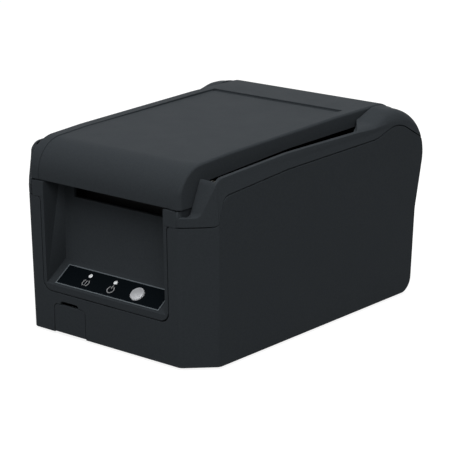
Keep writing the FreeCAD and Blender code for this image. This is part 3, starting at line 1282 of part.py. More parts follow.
def tear_bar():
    body = doc.addObject("PartDesign::Body", "tear_body")
    origin = {role.Role: role for role in body.Origin.OriginFeatures}
    left, right = within("tear_half")
    bottom, top = "platen_height - tear_drop", "platen_height + tear_rise"
    sheet_outline = outline("tear_outline", "XZ",
                            [(left, bottom), (right, bottom), (right, top), (left, top)])
    gap_outline = outline("tear_gap_outline", "XZ", [(left, f"{bottom} - tear_thick"),
                                                     (f"{left} + tear_pitch / 2", f"{bottom} + tear_tooth"),
                                                     (f"{left} + tear_pitch", f"{bottom} - tear_thick")])
    for sketch in (sheet_outline, gap_outline):
        body.addObject(sketch)
        bind(sketch, y="tear_front")
    plate = doc.addObject("PartDesign::Pad", "tear_plate")
    body.addObject(plate)
    plate.Profile = sheet_outline
    plate.Reversed = True
    bind(plate, Length="tear_thick")
    gap_cut = doc.addObject("PartDesign::Pocket", "tear_gap_cut")
    body.addObject(gap_cut)
    gap_cut.Profile = gap_outline
    gap_cut.Type = 1
    gap_cut.Midplane = True
    row = doc.addObject("PartDesign::LinearPattern", "tear_teeth")
    body.addObject(row)
    row.Originals = [gap_cut]
    row.Direction = (origin["X_Axis"], [""])
    bind(row, Length="2 * tear_half - tear_pitch", Occurrences="round(2 * tear_half / tear_pitch)")
    body.Tip = row
    return group("tear_bar", body)


def paper_bucket():
    def trough(name, out, half):
        near, far = f"bucket_front - ({out})", f"bucket_rear + ({out})"
        floor, radius = f"bucket_bottom - ({out})", f"bucket_radius + ({out})"
        corners = [(near, floor, radius), (far, floor, radius), (far, "case_height"), (near, "case_height")]
        return prism(name, "YZ", corners, *within(half))

    across = within("bucket_half + bucket_wall")
    skin = trough("bucket_skin", "bucket_wall", "bucket_half + bucket_wall")
    flange = block("bucket_flange", within("flange_half"),
                   ("bucket_front - bucket_wall", "bucket_rear + bucket_wall"), ("seam_front", "case_height"))
    solid = common("bucket_solid", fuse("bucket_outer", skin, flange),
                   below("under_deck_bucket", UNDER_DECK, "deck_thick"))
    under_flange = cut("under_flange", below("flange_under", f"{UNDER_DECK} - bucket_wall", "deck_thick"),
                       block("bucket_column", across, within(FAR), within(FAR)))
    return cut("paper_bucket", solid, trough("bucket_room", "0", "bucket_half"), under_flange)


# Boards and sockets

def main_board():
    def chip(name, across, back, width, depth, height):
        return block(name, within(f"({width}) / 2", f"{across} * chip_pitch"),
                     within(f"({depth}) / 2", f"board_front + {back} * chip_pitch"),
                     ("board_top", f"board_top + {height}"))

    chips = [chip("processor", "-1", "4.5", "chip_size", "chip_size", "chip_height"),
             chip("memory", "1.5", "3.5", "0.8 * chip_size", "chip_size", "chip_height"),
             chip("head_driver", "1.5", "5.5", "0.8 * chip_size", "chip_size", "chip_height"),
             chip("coil", "-3.5", "6.5", "chip_pitch", "chip_pitch", "header_height"),
             chip("head_header", "0", "1", "2 * header_half", "header_depth", "header_height"),
             chip("motor_header", "3.5", "2", "chip_size", "header_depth", "header_height")]
    cans = [rod(f"can_{index}", "z", "can_radius", "board_top", "board_top + can_height",
                f"{across} * chip_pitch", f"board_front + {back} * chip_pitch")
            for index, (across, back) in enumerate([("-3.5", "8"), ("-2.5", "8"), ("3.5", "7.5")])]
    board = block("board_sheet", within("board_half"), ("board_front", "board_rear"),
                  ("board_bottom", "board_top"))
    return cut("main_board", fuse("board_loaded", board, *chips, *cans),
               *rods("board_hole", "screw_radius", "board_bottom", "board_top", BOARD_HOLES))


def socket_body(kind):
    across, height = socket_span(kind, "0")
    return block(f"{kind}_body", across, ("socket_front", "socket_rear"), height)


MOUTH = ("socket_rear - socket_deep", f"socket_rear + {PAST}")


def power_socket():
    place = ("power_middle", "board_top + power_tall / 2")
    bored = cut("power_bored", socket_body("power"), rod("power_bore", "y", "power_bore", *MOUTH, *place))
    pin = rod("power_pin", "y", "power_pin", "socket_front", "socket_rear - socket_wall", *place)
    return fuse("power_socket", bored, pin)


def usb_socket():
    across, height = socket_span("usb", "-socket_wall")
    tongue = block("usb_tongue", within("usb_tongue_half", "usb_middle"),
                   ("socket_front", "socket_rear - socket_wall"),
                   within("usb_tongue_thick / 2", "board_top + usb_tall / 2"))
    return fuse("usb_socket", cut("usb_open", socket_body("usb"), block("usb_room", across, MOUTH, height)),
                tongue)


def plug_socket(kind):
    """A socket for a plug with a latch, which runs in a groove over the hollow."""
    across, (low, high) = socket_span(kind, "-socket_wall")
    room = block(f"{kind}_room", across, MOUTH, (low, f"{high} - latch_rise"))
    latch = block(f"{kind}_latch", within("latch_half", f"{kind}_middle"), MOUTH, (low, high))
    return cut(f"{kind}_socket", socket_body(kind), room, latch)


# Control panel, drawn on a level floor

def panel_label():
    left, right = within("label_half")
    low, high = "label_start", "label_start + label_length"
    face = prism("label_face", "XY", [(left, low, "label_radius"), (right, low, "label_radius"),
                                      (right, high, "label_radius"), (left, high, "label_radius")],
                 "0", "label_thick")
    through = (f"-({PAST})", PAST)
    return cut("panel_label", face, *rods("label_button_hole", "button_radius + fit_gap", *through, [BUTTON]),
               *rods("label_light_hole", "light_radius", *through, LIGHTS))


def status_lenses():
    return group("status_lenses",
                 *rods("lens", "light_radius", "panel_board_top", "label_thick + light_proud", LIGHTS))


def panel_board():
    sheet_block = block("panel_sheet", within("panel_board_half"),
                        ("label_start + panel_board_edge", "label_start + label_length - panel_board_edge"),
                        ("panel_board_top - board_thick", "panel_board_top"))
    return group("panel_board", sheet_block)


def feed_switch():
    x, y = BUTTON
    body = block("feed_switch_body", within("feed_switch_half", x), within("feed_switch_half", y),
                 ("panel_board_top", "panel_board_top + feed_switch_height"))
    return fuse("feed_switch", body,
                rod("feed_plunger", "z", "plunger_radius", "panel_board_top", "plunger_top", x, y))


def feed_button():
    flange_top = "flange_bottom + button_flange_thick"
    corners = [("flange_bottom", "0"), ("flange_bottom", "button_flange"), (flange_top, "button_flange"),
               (flange_top, "button_radius"), ("button_proud - button_bevel", "button_radius"),
               ("button_proud", "button_radius - button_bevel"), ("button_proud", "0")]
    return group("feed_button", bind(turned("button_turned", "z", corners), x=BUTTON[0], y=BUTTON[1]))


finish(lower_case(), "lower_case")
finish(upper_case(), "upper_case")
finish(lid_shell(), "lid_shell")
finish(hinge_pins(), "hinge_pins")
finish(base_plate(), "base_plate")
finish(rubber_feet(), "rubber_feet")
finish(screws("case_screws", BOSSES, "screw_head_height", "screw_length", 1), "case_screws")
finish(switch_door(), "switch_door")
finish(power_switch(), "power_switch")
finish(switch_rocker(), "switch_rocker")
finish(chassis(), "chassis")
finish(screws("chassis_screws", POSTS, "chassis_bottom + plate_thick", "screw_length", -1), "chassis_screws")
finish(print_head(), "print_head")
finish(head_heatsink(), "head_heatsink")
finish(head_spring(), "head_spring")
finish(stepper_motor(), "stepper_motor")
finish(motor_shaft(), "motor_shaft")
finish(gear_post(), "gear_post")
for made, label in zip(gears(), ("platen_gear", "idler_gear", "motor_pinion")):
    finish(made, label)
finish(platen_bushings(), "platen_bushings")
finish(platen_shaft(), "platen_shaft")
finish(platen_roller(), "platen_roller")
finish(lid_frame(), "lid_frame")
finish(tear_bar(), "tear_bar")
finish(paper_bucket(), "paper_bucket")
finish(main_board(), "main_board")
finish(screws("board_screws", BOARD_HOLES, "board_top", "board_top - base_thick", -1), "board_screws")
finish(power_socket(), "power_socket")
finish(usb_socket(), "usb_socket")
finish(plug_socket("network"), "network_socket")
finish(plug_socket("drawer"), "drawer_socket")
finish_on_slope(panel_label(), "panel_label")
finish_on_slope(status_lenses(), "status_lenses")
finish_on_slope(panel_board(), "panel_board")
finish_on_slope(feed_switch(), "feed_switch")
finish_on_slope(feed_button(), "feed_button")

doc.recompute()
bad = [thing.Name for thing in doc.Objects if "Invalid" in thing.State or "Error" in thing.State]
bad += [thing.Label for thing in NODES if thing.Shape.isNull() or not thing.Shape.isValid()]
if bad:
    raise RuntimeError("not built: " + ", ".join(bad))
os.makedirs("parts", exist_ok=True)
for thing in NODES:
    print(thing.Label, len(thing.Shape.Solids), round(thing.Shape.Volume))
    thing.Shape.exportStep(f"parts/{thing.Label}.step")
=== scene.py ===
# %% [markdown]
# # A desktop receipt printer, dressed in Blender
#
# The solids of the printer come ready made from the drawing: a lower and an upper case, a hinged lid,
# a control panel and the print mechanism inside. This lesson gives them their looks. The mouldings
# are copied and get soft edges, the panel gets its printed marks, a domed button and small lights,
# and every piece gets a finish. Lengths are in metres, +X is right, +Y is back and +Z is up.

# %% Load the printer
import json
import math

import bmesh
import bpy
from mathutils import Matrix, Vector
from mathutils.bvhtree import BVHTree


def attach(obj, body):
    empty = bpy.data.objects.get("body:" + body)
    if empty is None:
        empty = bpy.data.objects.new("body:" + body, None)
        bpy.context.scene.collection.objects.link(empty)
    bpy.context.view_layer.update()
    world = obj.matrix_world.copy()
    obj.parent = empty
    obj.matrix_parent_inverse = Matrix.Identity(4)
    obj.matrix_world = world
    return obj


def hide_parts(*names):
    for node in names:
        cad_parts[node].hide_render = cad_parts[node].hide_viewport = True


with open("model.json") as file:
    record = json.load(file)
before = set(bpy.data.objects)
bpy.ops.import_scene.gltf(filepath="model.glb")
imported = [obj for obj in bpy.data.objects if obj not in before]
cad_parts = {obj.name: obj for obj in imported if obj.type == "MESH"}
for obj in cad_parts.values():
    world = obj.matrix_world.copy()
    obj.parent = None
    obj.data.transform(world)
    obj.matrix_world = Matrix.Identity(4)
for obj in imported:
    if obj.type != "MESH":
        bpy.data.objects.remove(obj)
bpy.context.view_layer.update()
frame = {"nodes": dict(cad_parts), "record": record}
nodes = frame["nodes"]
MM = 0.001

# %% [markdown]
# ## Camera
#
# The product photograph was taken with a long lens, from the right of the front and a little above.
# A long lens keeps the upright edges nearly parallel. The place and the angles were found by matching
# corners of the case with the photograph, so the camera is simply set from these numbers.

# %% Set the camera
CAMERA_PLACE = (0.7406, -0.88065, 0.3801)
CAMERA_TILT = math.radians(74.16)
CAMERA_TURN = math.radians(40.03)
CAMERA_LENS = 149.85

bpy.ops.object.camera_add(location=CAMERA_PLACE, rotation=(CAMERA_TILT, 0, CAMERA_TURN))
camera = bpy.context.object
camera.data.lens = CAMERA_LENS
bpy.context.scene.camera = camera
print("camera", [round(place, 3) for place in camera.location], "lens", camera.data.lens)

# %% [markdown]
# ## Floor and backdrop
#
# A catalogue picture stands on a white sweep. The floor is a pale plane that keeps the printer's
# shadow, and the world behind it is white. Both are lifted to white only for rays that come straight
# from the camera, or by way of a gloss or glass, so the lift adds no light of its own to the case.

# %% Helper that finds the rays that look at the backdrop
def looking_rays(tree):
    """A socket that is 1 for camera, glossy and transmitted rays and 0 for the others."""
    path = tree.nodes.new("ShaderNodeLightPath")
    seen = path.outputs["Is Camera Ray"]
    for kind in ("Is Glossy Ray", "Is Transmission Ray"):
        either = tree.nodes.new("ShaderNodeMath")
        either.operation = "MAXIMUM"
        tree.links.new(seen, either.inputs[0])
        tree.links.new(path.outputs[kind], either.inputs[1])
        seen = either.outputs[0]
    return seen


# %% Make the floor
FLOOR_SIZE = 6.0
FLOOR_PAINT = (0.22, 0.22, 0.22, 1)
FLOOR_ROUGHNESS = 0.9
FLOOR_SHINE = 0.1
FLOOR_LIFT = 0.88
WHITE = (1, 1, 1, 1)

bpy.ops.object.select_all(action="DESELECT")
bpy.ops.mesh.primitive_plane_add(size=FLOOR_SIZE, location=(0, 0, 0))
floor = bpy.context.object
floor.name = "floor"
sweep = bpy.data.materials.new("white_sweep")
sweep.use_nodes = True
paint = sweep.node_tree.nodes["Principled BSDF"]
paint.inputs["Base Color"].default_value = FLOOR_PAINT
paint.inputs["Roughness"].default_value = FLOOR_ROUGHNESS
paint.inputs["Specular IOR Level"].default_value = FLOOR_SHINE
paint.inputs["Emission Color"].default_value = WHITE
lift = sweep.node_tree.nodes.new("ShaderNodeMath")
lift.operation = "MULTIPLY"
lift.inputs[1].default_value = FLOOR_LIFT
sweep.node_tree.links.new(looking_rays(sweep.node_tree), lift.inputs[0])
sweep.node_tree.links.new(lift.outputs[0], paint.inputs["Emission Strength"])
floor.data.materials.append(sweep)
print("floor", FLOOR_SIZE, "m wide")

# %% Make the white world
SKY_LIGHT = 0.28
SKY_SEEN = 1.0

scene = bpy.context.scene
scene.view_settings.view_transform = "Standard"
world = bpy.data.worlds.new("studio")
scene.world = world
world.use_nodes = True
sky = world.node_tree.nodes["Background"]
sky.inputs["Color"].default_value = WHITE
level = world.node_tree.nodes.new("ShaderNodeMapRange")
level.inputs["To Min"].default_value = SKY_LIGHT
level.inputs["To Max"].default_value = SKY_SEEN
world.node_tree.links.new(looking_rays(world.node_tree), level.inputs["Value"])
world.node_tree.links.new(level.outputs["Result"], sky.inputs["Strength"])
print("sky lights the case at", SKY_LIGHT)

# %% [markdown]
# ## Lights
#
# One wide soft box overhead gives the lid its sheen and leaves the sides dark, as on the photograph.
# A second one, high in front, picks out the rolled edge of the lid, and a weaker one opposite the
# right front corner lights the chamfer and the side. Large lights make soft shadows on a satin plastic.

# %% Set the lights
SOFT_BOXES = [
    # name, watts, width, place and target
    ("overhead", 12.0, 1.2, (0.2, 0.25, 1.45), (0, 0, 0.1)),
    ("front", 12.5, 1.0, (0.05, -1.1, 1.6), (0, 0, 0.08)),
    ("right_corner", 12.5, 1.0, (1.15, -1.2, 1.2), (0, 0, 0.06)),
]


def soft_box(name, power, size, place, target):
    """A square area light at a place, facing a target."""
    bpy.ops.object.light_add(type="AREA", location=place)
    lamp = bpy.context.object
    lamp.name = name
    lamp.data.energy = power
    lamp.data.size = size
    lamp.rotation_euler = (Vector(target) - Vector(place)).to_track_quat("-Z", "Y").to_euler()
    print("light", name, power, "W")


for soft_box_values in SOFT_BOXES:
    soft_box(*soft_box_values)

# %% [markdown]
# ## Finishes
#
# The case is dark charcoal plastic with a fine spark-eroded grain. The grain is noise on object
# coordinates, so it stays with each piece as it moves. One helper makes every finish: two close
# tones mixed by noise, a little variation in roughness, and a fine bump.

# %% Helper for finishes
ROUGHNESS_SPREAD = 0.06
# The roughness varies this many times more coarsely than the grain.
MOTTLE = 12
FINE_DETAIL = 2
MOTTLE_DETAIL = 3
GRAIN_HEIGHT = 0.1 * MM


def finish_of(name, dark, light, roughness, metallic=0.0, grain=900.0, depth=0.1, shine=0.5):
    """A material with two close tones, uneven roughness and a fine grain, on object coordinates."""
    material = bpy.data.materials.new(name)
    material.use_nodes = True
    tree = material.node_tree
    shader = tree.nodes["Principled BSDF"]
    shader.inputs["Metallic"].default_value = metallic
    shader.inputs["Specular IOR Level"].default_value = shine
    place = tree.nodes.new("ShaderNodeTexCoord")

    def noise(scale, detail):
        made = tree.nodes.new("ShaderNodeTexNoise")
        made.inputs["Scale"].default_value = scale
        made.inputs["Detail"].default_value = detail
        tree.links.new(place.outputs["Object"], made.inputs["Vector"])
        return made.outputs["Fac"]

    fine = noise(grain, FINE_DETAIL)
    tones = tree.nodes.new("ShaderNodeMix")
    tones.data_type = "RGBA"
    tones.inputs["A"].default_value = (*dark, 1)
    tones.inputs["B"].default_value = (*light, 1)
    tree.links.new(fine, tones.inputs["Factor"])
    tree.links.new(tones.outputs["Result"], shader.inputs["Base Color"])
    spread = tree.nodes.new("ShaderNodeMapRange")
    spread.inputs["To Min"].default_value = roughness - ROUGHNESS_SPREAD
    spread.inputs["To Max"].default_value = roughness + ROUGHNESS_SPREAD
    tree.links.new(noise(grain / MOTTLE, MOTTLE_DETAIL), spread.inputs["Value"])
    tree.links.new(spread.outputs["Result"], shader.inputs["Roughness"])
    bump = tree.nodes.new("ShaderNodeBump")
    bump.inputs["Strength"].default_value = depth
    bump.inputs["Distance"].default_value = GRAIN_HEIGHT
    tree.links.new(fine, bump.inputs["Height"])
    tree.links.new(bump.outputs["Normal"], shader.inputs["Normal"])
    return material


# %% Mix the finishes
FINISHES = {
    "case_plastic": finish_of("charcoal_case", (0.0265, 0.0305, 0.0342), (0.0355, 0.0408, 0.0458), 0.55,
                              depth=0.35, shine=0.015),
    "inner_plastic": finish_of("black_inner", (0.006, 0.006, 0.0066), (0.010, 0.010, 0.011), 0.6,
                               depth=0.3, shine=0.1),
    "gear_plastic": finish_of("white_gears", (0.66, 0.64, 0.58), (0.74, 0.72, 0.66), 0.4),
    "label_film": finish_of("black_film", (0.0020, 0.0034, 0.0046), (0.0032, 0.0048, 0.0062), 0.5,
                            depth=0.05, shine=0.012),
    "button_silver": finish_of("silver_paint", (0.455, 0.465, 0.485), (0.475, 0.485, 0.505), 0.38,
                               metallic=0.3, depth=0.01),
    "lens_clear": finish_of("milky_lens", (0.80, 0.82, 0.84), (0.88, 0.90, 0.92), 0.2, depth=0.01),
    "rubber": finish_of("black_rubber", (0.003, 0.003, 0.003), (0.006, 0.006, 0.006), 0.85, depth=0.4,
                        shine=0.04),
    "steel": finish_of("bright_steel", (0.52, 0.53, 0.54), (0.64, 0.65, 0.66), 0.3, metallic=1.0),
    "sheet": finish_of("zinc_sheet", (0.42, 0.44, 0.46), (0.60, 0.62, 0.64), 0.42, metallic=0.9,
                       grain=260.0),
    "aluminium": finish_of("bare_aluminium", (0.58, 0.58, 0.59), (0.70, 0.70, 0.71), 0.35, metallic=1.0),
    "ceramic": finish_of("glazed_ceramic", (0.62, 0.62, 0.56), (0.72, 0.72, 0.66), 0.2),
    "board_green": finish_of("green_board", (0.008, 0.065, 0.026), (0.014, 0.100, 0.042), 0.4),
    "socket_metal": finish_of("plated_shell", (0.60, 0.60, 0.61), (0.74, 0.74, 0.75), 0.22, metallic=1.0),
    "bushing_plastic": finish_of("black_bushing", (0.012, 0.012, 0.013), (0.019, 0.019, 0.020), 0.35),
}
print("mixed", len(FINISHES), "finishes")

# %% Dress the nodes
slot_of = {entry["node"]: entry["material_slot"] for entry in frame["record"]["subparts"]}


def dress(piece, slot):
    """Give a piece the finish of one of the record's slots."""
    piece.data.materials.clear()
    piece.data.materials.append(FINISHES[slot])


for name, node in nodes.items():
    dress(node, slot_of[name])
print("dressed", len(slot_of), "nodes")

# %% [markdown]
# ## Painted shade in the paper slot
#
# The heat sink and the chassis show through the paper slot, which looks black from outside because it
# lies deep in shade. They could share the bright metals above, but then the slot would glint. So each
# gets a near-black finish of its own: painted shade for the dark inside of the slot, not a real coating.

# %% Paint shade on what shows through the paper slot
# Near-black finishes on the heat sink and the chassis: painted shade for the deep paper slot.
PAINTED_SHADE_FINISHES = {
    "head_heatsink": finish_of("painted_shade_heatsink", (0.010, 0.010, 0.011), (0.016, 0.016, 0.017), 0.5,
                               metallic=0.3, shine=0.1),
    "chassis": finish_of("painted_shade_chassis", (0.012, 0.012, 0.013), (0.020, 0.020, 0.022), 0.5, metallic=0.3,
                         grain=260.0, shine=0.1),
}
for name, finish in PAINTED_SHADE_FINISHES.items():
    nodes[name].data.materials[0] = finish
print("painted_shade_on", ", ".join(PAINTED_SHADE_FINISHES))

# %% [markdown]
# ## Soft edges on the mouldings
#
# No moulded edge is a knife edge: each has a small radius, and it is the radius that catches the
# light. The radii could be drawn on the solids, but sharp solids fit and measure better. So each visible
# moulding is copied here, its triangles are merged back into whole faces, and its outward edges are
# bevelled. A few corners where many edges meet can be thrown off by a bevel, so any point that leaves
# the old surface is put back on it.

# %% Helper that copies a moulding
MERGE_WITHIN = 0.02 * MM
FLAT = math.radians(0.4)


def copy_of(node_name, piece_name):
    """A merged copy of a node's mesh, the only thing selected, in object mode."""
    bpy.ops.object.select_all(action="DESELECT")
    piece = bpy.data.objects.new(piece_name, nodes[node_name].data.copy())
    bpy.context.collection.objects.link(piece)
    bpy.context.view_layer.objects.active = piece
    piece.select_set(True)
    bpy.ops.object.mode_set(mode="EDIT")
    bpy.ops.mesh.select_all(action="SELECT")
    bpy.ops.mesh.remove_doubles(threshold=MERGE_WITHIN)
    bpy.ops.mesh.select_all(action="SELECT")
    bpy.ops.mesh.dissolve_limited(angle_limit=FLAT)
    bpy.ops.object.mode_set(mode="OBJECT")
    return piece


# %% Helper that softens chosen edges
SHARP = math.radians(32)
# A point further from the old surface than this share of the bevel's width is put back.
STRAY = 0.6


def bevel_where(piece, chosen, width, segments):
    """Bevel the outward sharp edges for which chosen(middle, normal, other normal) holds."""
    old = BVHTree.FromObject(piece, bpy.context.evaluated_depsgraph_get())
    bpy.ops.object.mode_set(mode="EDIT")
    bpy.ops.mesh.select_mode(type="EDGE")
    bpy.ops.mesh.select_all(action="DESELECT")
    mesh = bmesh.from_edit_mesh(piece.data)
    count = 0
    for edge in mesh.edges:
        if len(edge.link_faces) == 2 and edge.is_convex and edge.calc_face_angle() > SHARP:
            middle = (edge.verts[0].co + edge.verts[1].co) / 2
            one, other = (face.normal for face in edge.link_faces)
            if chosen(middle, one, other) or chosen(middle, other, one):
                edge.select_set(True)
                count += 1
    bmesh.update_edit_mesh(piece.data)
    bpy.ops.mesh.bevel(offset=width, segments=segments, affect="EDGES", clamp_overlap=False)
    mesh = bmesh.from_edit_mesh(piece.data)
    pulled = 0
    for vertex in mesh.verts:
        nearest, _, _, gap = old.find_nearest(vertex.co)
        if gap > STRAY * width:
            vertex.co = nearest
            pulled += 1
    bmesh.update_edit_mesh(piece.data)
    bpy.ops.object.mode_set(mode="OBJECT")
    print(piece.name, "bevelled", count, "edges by", round(width / MM, 2), "mm,", pulled, "points put back")


# %% Helper that smooths the bevels
SMOOTH_BELOW = math.radians(48)


def smooth(piece):
    """Smooth the bevels and keep large faces flat."""
    bpy.ops.object.shade_smooth_by_angle(angle=SMOOTH_BELOW)
    bpy.ops.object.modifier_add(type="WEIGHTED_NORMAL")
    piece.modifiers[-1].keep_sharp = True
    bpy.ops.object.modifier_apply(modifier=piece.modifiers[-1].name)


# %% [markdown]
# ## Lid
#
# The lid's long creases are the most visible edges, so they get a wider bevel than the rest, and so do
# the lips of the groove behind the sunken panel. One width for all would be simpler, but then either the
# creases look sharp or the small steps vanish. The side walls of the lid also reach a little further down
# and out than on the drawing, which leaves only a narrow dark gap along the rim.

# %% Helper that moves the lid's side edges
LID_SIDE = 58 * MM
EDGE_BACK = 64.5 * MM
EDGE_TOP = 118.5 * MM


def move_edge(piece, front, drop, spread):
    """Lower and spread the side edges of the lid behind a depth."""
    bpy.ops.object.mode_set(mode="EDIT")
    bpy.ops.mesh.select_mode(type="VERT")
    bpy.ops.mesh.select_all(action="DESELECT")
    mesh = bmesh.from_edit_mesh(piece.data)
    moved = 0
    for vertex in mesh.verts:
        place = vertex.co
        if abs(place.x) > LID_SIDE and front < place.y < EDGE_BACK and place.z < EDGE_TOP:
            vertex.select_set(True)
            moved += 1
    bmesh.update_edit_mesh(piece.data)
    bpy.ops.transform.translate(value=(0, 0, -drop))
    bpy.ops.transform.resize(value=(spread, 1, 1), center_override=(0, 0, 0))
    bpy.ops.object.mode_set(mode="OBJECT")
    print(piece.name, "has", moved, "points of its side edges moved")


# %% Choose the lid's edges
# A part of a normal above FACING counts as facing that way, and one below ASIDE as not facing it.
FACING = 0.9
ASIDE = 0.3
FACING_UP = 0.2
FACING_FRONT = -0.5
GROOVE_LIPS = (51.19 * MM, 53.19 * MM)
GROOVE_NEAR = 0.2 * MM
LID_TOP = 124 * MM


def is_lid_crease(middle, side, top):
    """Long edge between a side wall of the lid and its top or its rolled front."""
    outside = abs(middle.x) > LID_SIDE and abs(side.x) > FACING
    return outside and abs(top.x) < ASIDE and (top.z > FACING_UP or top.y < FACING_FRONT)


def is_groove(middle, one, other):
    """Lip of the groove behind the sunken panel."""
    return middle.z > LID_TOP and min(abs(middle.y - lip) for lip in GROOVE_LIPS) < GROOVE_NEAR


def is_any(middle, one, other):
    """Every edge that is left."""
    return True


# %% Soften the lid
EDGE_FRONTS = (-91.2 * MM, -86.5 * MM)
EDGE_DROP = 0.4 * MM
EDGE_SPREAD = 1.006
CREASE_WIDTH = 1.6 * MM
GROOVE_WIDTH = 0.7 * MM
SOFT_WIDTH = 0.3 * MM

lid = copy_of("lid_shell", "lid_cover")
for edge_front in EDGE_FRONTS:
    move_edge(lid, edge_front, EDGE_DROP, EDGE_SPREAD)
bevel_where(lid, is_lid_crease, CREASE_WIDTH, segments=4)
bevel_where(lid, is_groove, GROOVE_WIDTH, segments=3)
bevel_where(lid, is_any, SOFT_WIDTH, segments=2)
smooth(lid)
dress(lid, "case_plastic")
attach(lid, "lid")
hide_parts("lid_shell")

# %% [markdown]
# ## Rim of the case
#
# The rim strip on top of the case leans a little towards the lid. It could be drawn again as a loft, but
# its seam with the lower half has to stay where it is. So the upper points of the copy are moved inwards
# by their height over the seam, and less and less towards the ears at the rear.

# %% Helper that leans the rim
# Lower end of the leaning rim strip, as (depth, height), and how far the strip leans at its top.
RIM_FOOT = [
    (-104 * MM, 93.5 * MM),
    (-97 * MM, 98.5 * MM),
    (-86 * MM, 104.9 * MM),
    (-32 * MM, 109.3 * MM),
    (40 * MM, 110.9 * MM),
]
RIM_HEIGHT = 10 * MM
RIM_LEAN = 3.0 * MM
# Only points further out than the strip's inner face lean. It lies further in at the front ramp.
RIM_INSIDE = 75.2 * MM
RAMP_INSIDE = 69.0 * MM
RAMP_BACK = -94.6 * MM
LEAN_FADES = -30.5 * MM
LEAN_ENDS = 38.0 * MM


def rim_foot(depth):
    """Height of the seam under the rim strip at a depth."""
    for (back, low), (front, high) in zip(RIM_FOOT, RIM_FOOT[1:]):
        if depth <= front:
            return low + (high - low) * max(0, depth - back) / (front - back)
    return RIM_FOOT[-1][1]


def lean_rim(piece):
    """Lean the rim strip towards the lid, and fade the lean out towards the ears."""
    bpy.ops.object.mode_set(mode="EDIT")
    mesh = bmesh.from_edit_mesh(piece.data)
    leaning = 0
    for vertex in mesh.verts:
        place = vertex.co
        inside = RAMP_INSIDE if place.y < RAMP_BACK else RIM_INSIDE
        fade = min(1, (LEAN_ENDS - place.y) / (LEAN_ENDS - LEAN_FADES))
        rise = min(1, (place.z - rim_foot(place.y)) / RIM_HEIGHT)
        if abs(place.x) > inside and fade > 0 and rise > 0:
            place.x -= math.copysign(RIM_LEAN * fade * rise, place.x)
            leaning += 1
    bmesh.update_edit_mesh(piece.data)
    bpy.ops.object.mode_set(mode="OBJECT")
    print(piece.name, "has", leaning, "points of the rim leaning by up to", round(RIM_LEAN / MM, 1), "mm")


# %% [markdown]
# ## Rear wall
#
# In the middle of the rear wall, the drawing leaves a hair's breadth between its two leaning sides. A real
# moulding has no such slit. It could be filled with a strip, but drawing the points on both sides together
# keeps one clean surface. The faces left inside it get no bevel, because that would open it again.

# %% Helper that closes the rear wall
# Half width and front end of the slit in the rear wall, and the share of its width that is left.
SLIT_HALF = 0.4 * MM
SLIT_FRONT = 95 * MM
SLIT_LEFT = 0.02


def close_rear(piece):
    """Close the slit in the middle of the rear wall, where the two sides of the drawing meet."""
    bpy.ops.object.mode_set(mode="EDIT")
    bpy.ops.mesh.select_mode(type="VERT")
    bpy.ops.mesh.select_all(action="DESELECT")
    mesh = bmesh.from_edit_mesh(piece.data)
    closing = 0
    for vertex in mesh.verts:
        if abs(vertex.co.x) < SLIT_HALF and vertex.co.y > SLIT_FRONT:
            vertex.select_set(True)
            closing += 1
    bmesh.update_edit_mesh(piece.data)
    bpy.ops.transform.resize(value=(SLIT_LEFT, 1, 1), center_override=(0, 0, 0))
    bpy.ops.object.mode_set(mode="OBJECT")
    print(piece.name, "has", closing, "points of its rear slit drawn together")


def is_not_slit(middle, one, other):
    """Every edge that is left, without those of the closed slit."""
    return abs(middle.x) > SLIT_HALF or max(abs(one.x), abs(other.x)) < FACING


# %% [markdown]
# ## Edges of the case
#
# The upright edges of the chamfered front corners are the softest on the case, so they get a wide bevel
# first. All other edges, such as the seam, the window and the rim, get a narrow one. A bevel modifier on
# the whole half would be quicker, but it has one width for all, and it would soften the slit as well.

# %% Soften the case halves
# A chamfer faces sideways and to the front alike, within CHAMFER_NEAR.
CHAMFER_SIDEWAYS = 0.7
CHAMFER_NEAR = 0.12
SQUARE = 0.95
CORNER_WIDTH = 1.8 * MM


def is_front_corner(middle, corner, face):
    """Upright edge between a chamfer and the front or a side of the case."""
    chamfer = abs(abs(corner.x) - CHAMFER_SIDEWAYS) < CHAMFER_NEAR and corner.y < FACING_FRONT
    return chamfer and (abs(face.x) > SQUARE or face.y < -SQUARE)


for node_name, piece_name in (("lower_case", "lower_housing"), ("upper_case", "upper_housing")):
    half = copy_of(node_name, piece_name)
    close_rear(half)
    if node_name == "upper_case":
        lean_rim(half)
    bevel_where(half, is_front_corner, CORNER_WIDTH, segments=4)
    bevel_where(half, is_not_slit, SOFT_WIDTH, segments=2)
    smooth(half)
    dress(half, "case_plastic")
    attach(half, "case")
    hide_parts(node_name)

# %% [markdown]
# ## Switch flap
#
# The flap low on the front is a small moulding of its own that swings out on a hinge. It is softened like
# the case, a little less because it is thin, and it rides on the door body so that it opens with it.

# %% Soften the switch flap
FLAP_WIDTH = 0.25 * MM

flap = copy_of("switch_door", "switch_flap")
bevel_where(flap, is_any, FLAP_WIDTH, segments=2)
smooth(flap)
dress(flap, "case_plastic")
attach(flap, "door")
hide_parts("switch_door")

# %% [markdown]
# ## Control panel
#
# The black film on the sloped floor of the recess carries a thin grey border and two small marks, one
# under each light. On the real panel they are printed. A picture on the film could show them, but it
# blurs from near by. So they are flat pieces a few hundredths of a millimetre thick, drawn as if the
# slope lay level and then turned onto it.

# %% Helpers that print on the slope
SLOPE = math.radians(34.8)
SLOPE_FOOT = (0, -111.491 * MM, 31.9 * MM)
INK = 0.05 * MM

grey_print = finish_of("grey_print", (0.095, 0.112, 0.124), (0.115, 0.132, 0.144), 0.5, shine=0.1)
pale_print = finish_of("pale_print", (0.24, 0.245, 0.25), (0.29, 0.295, 0.30), 0.5, shine=0.2)


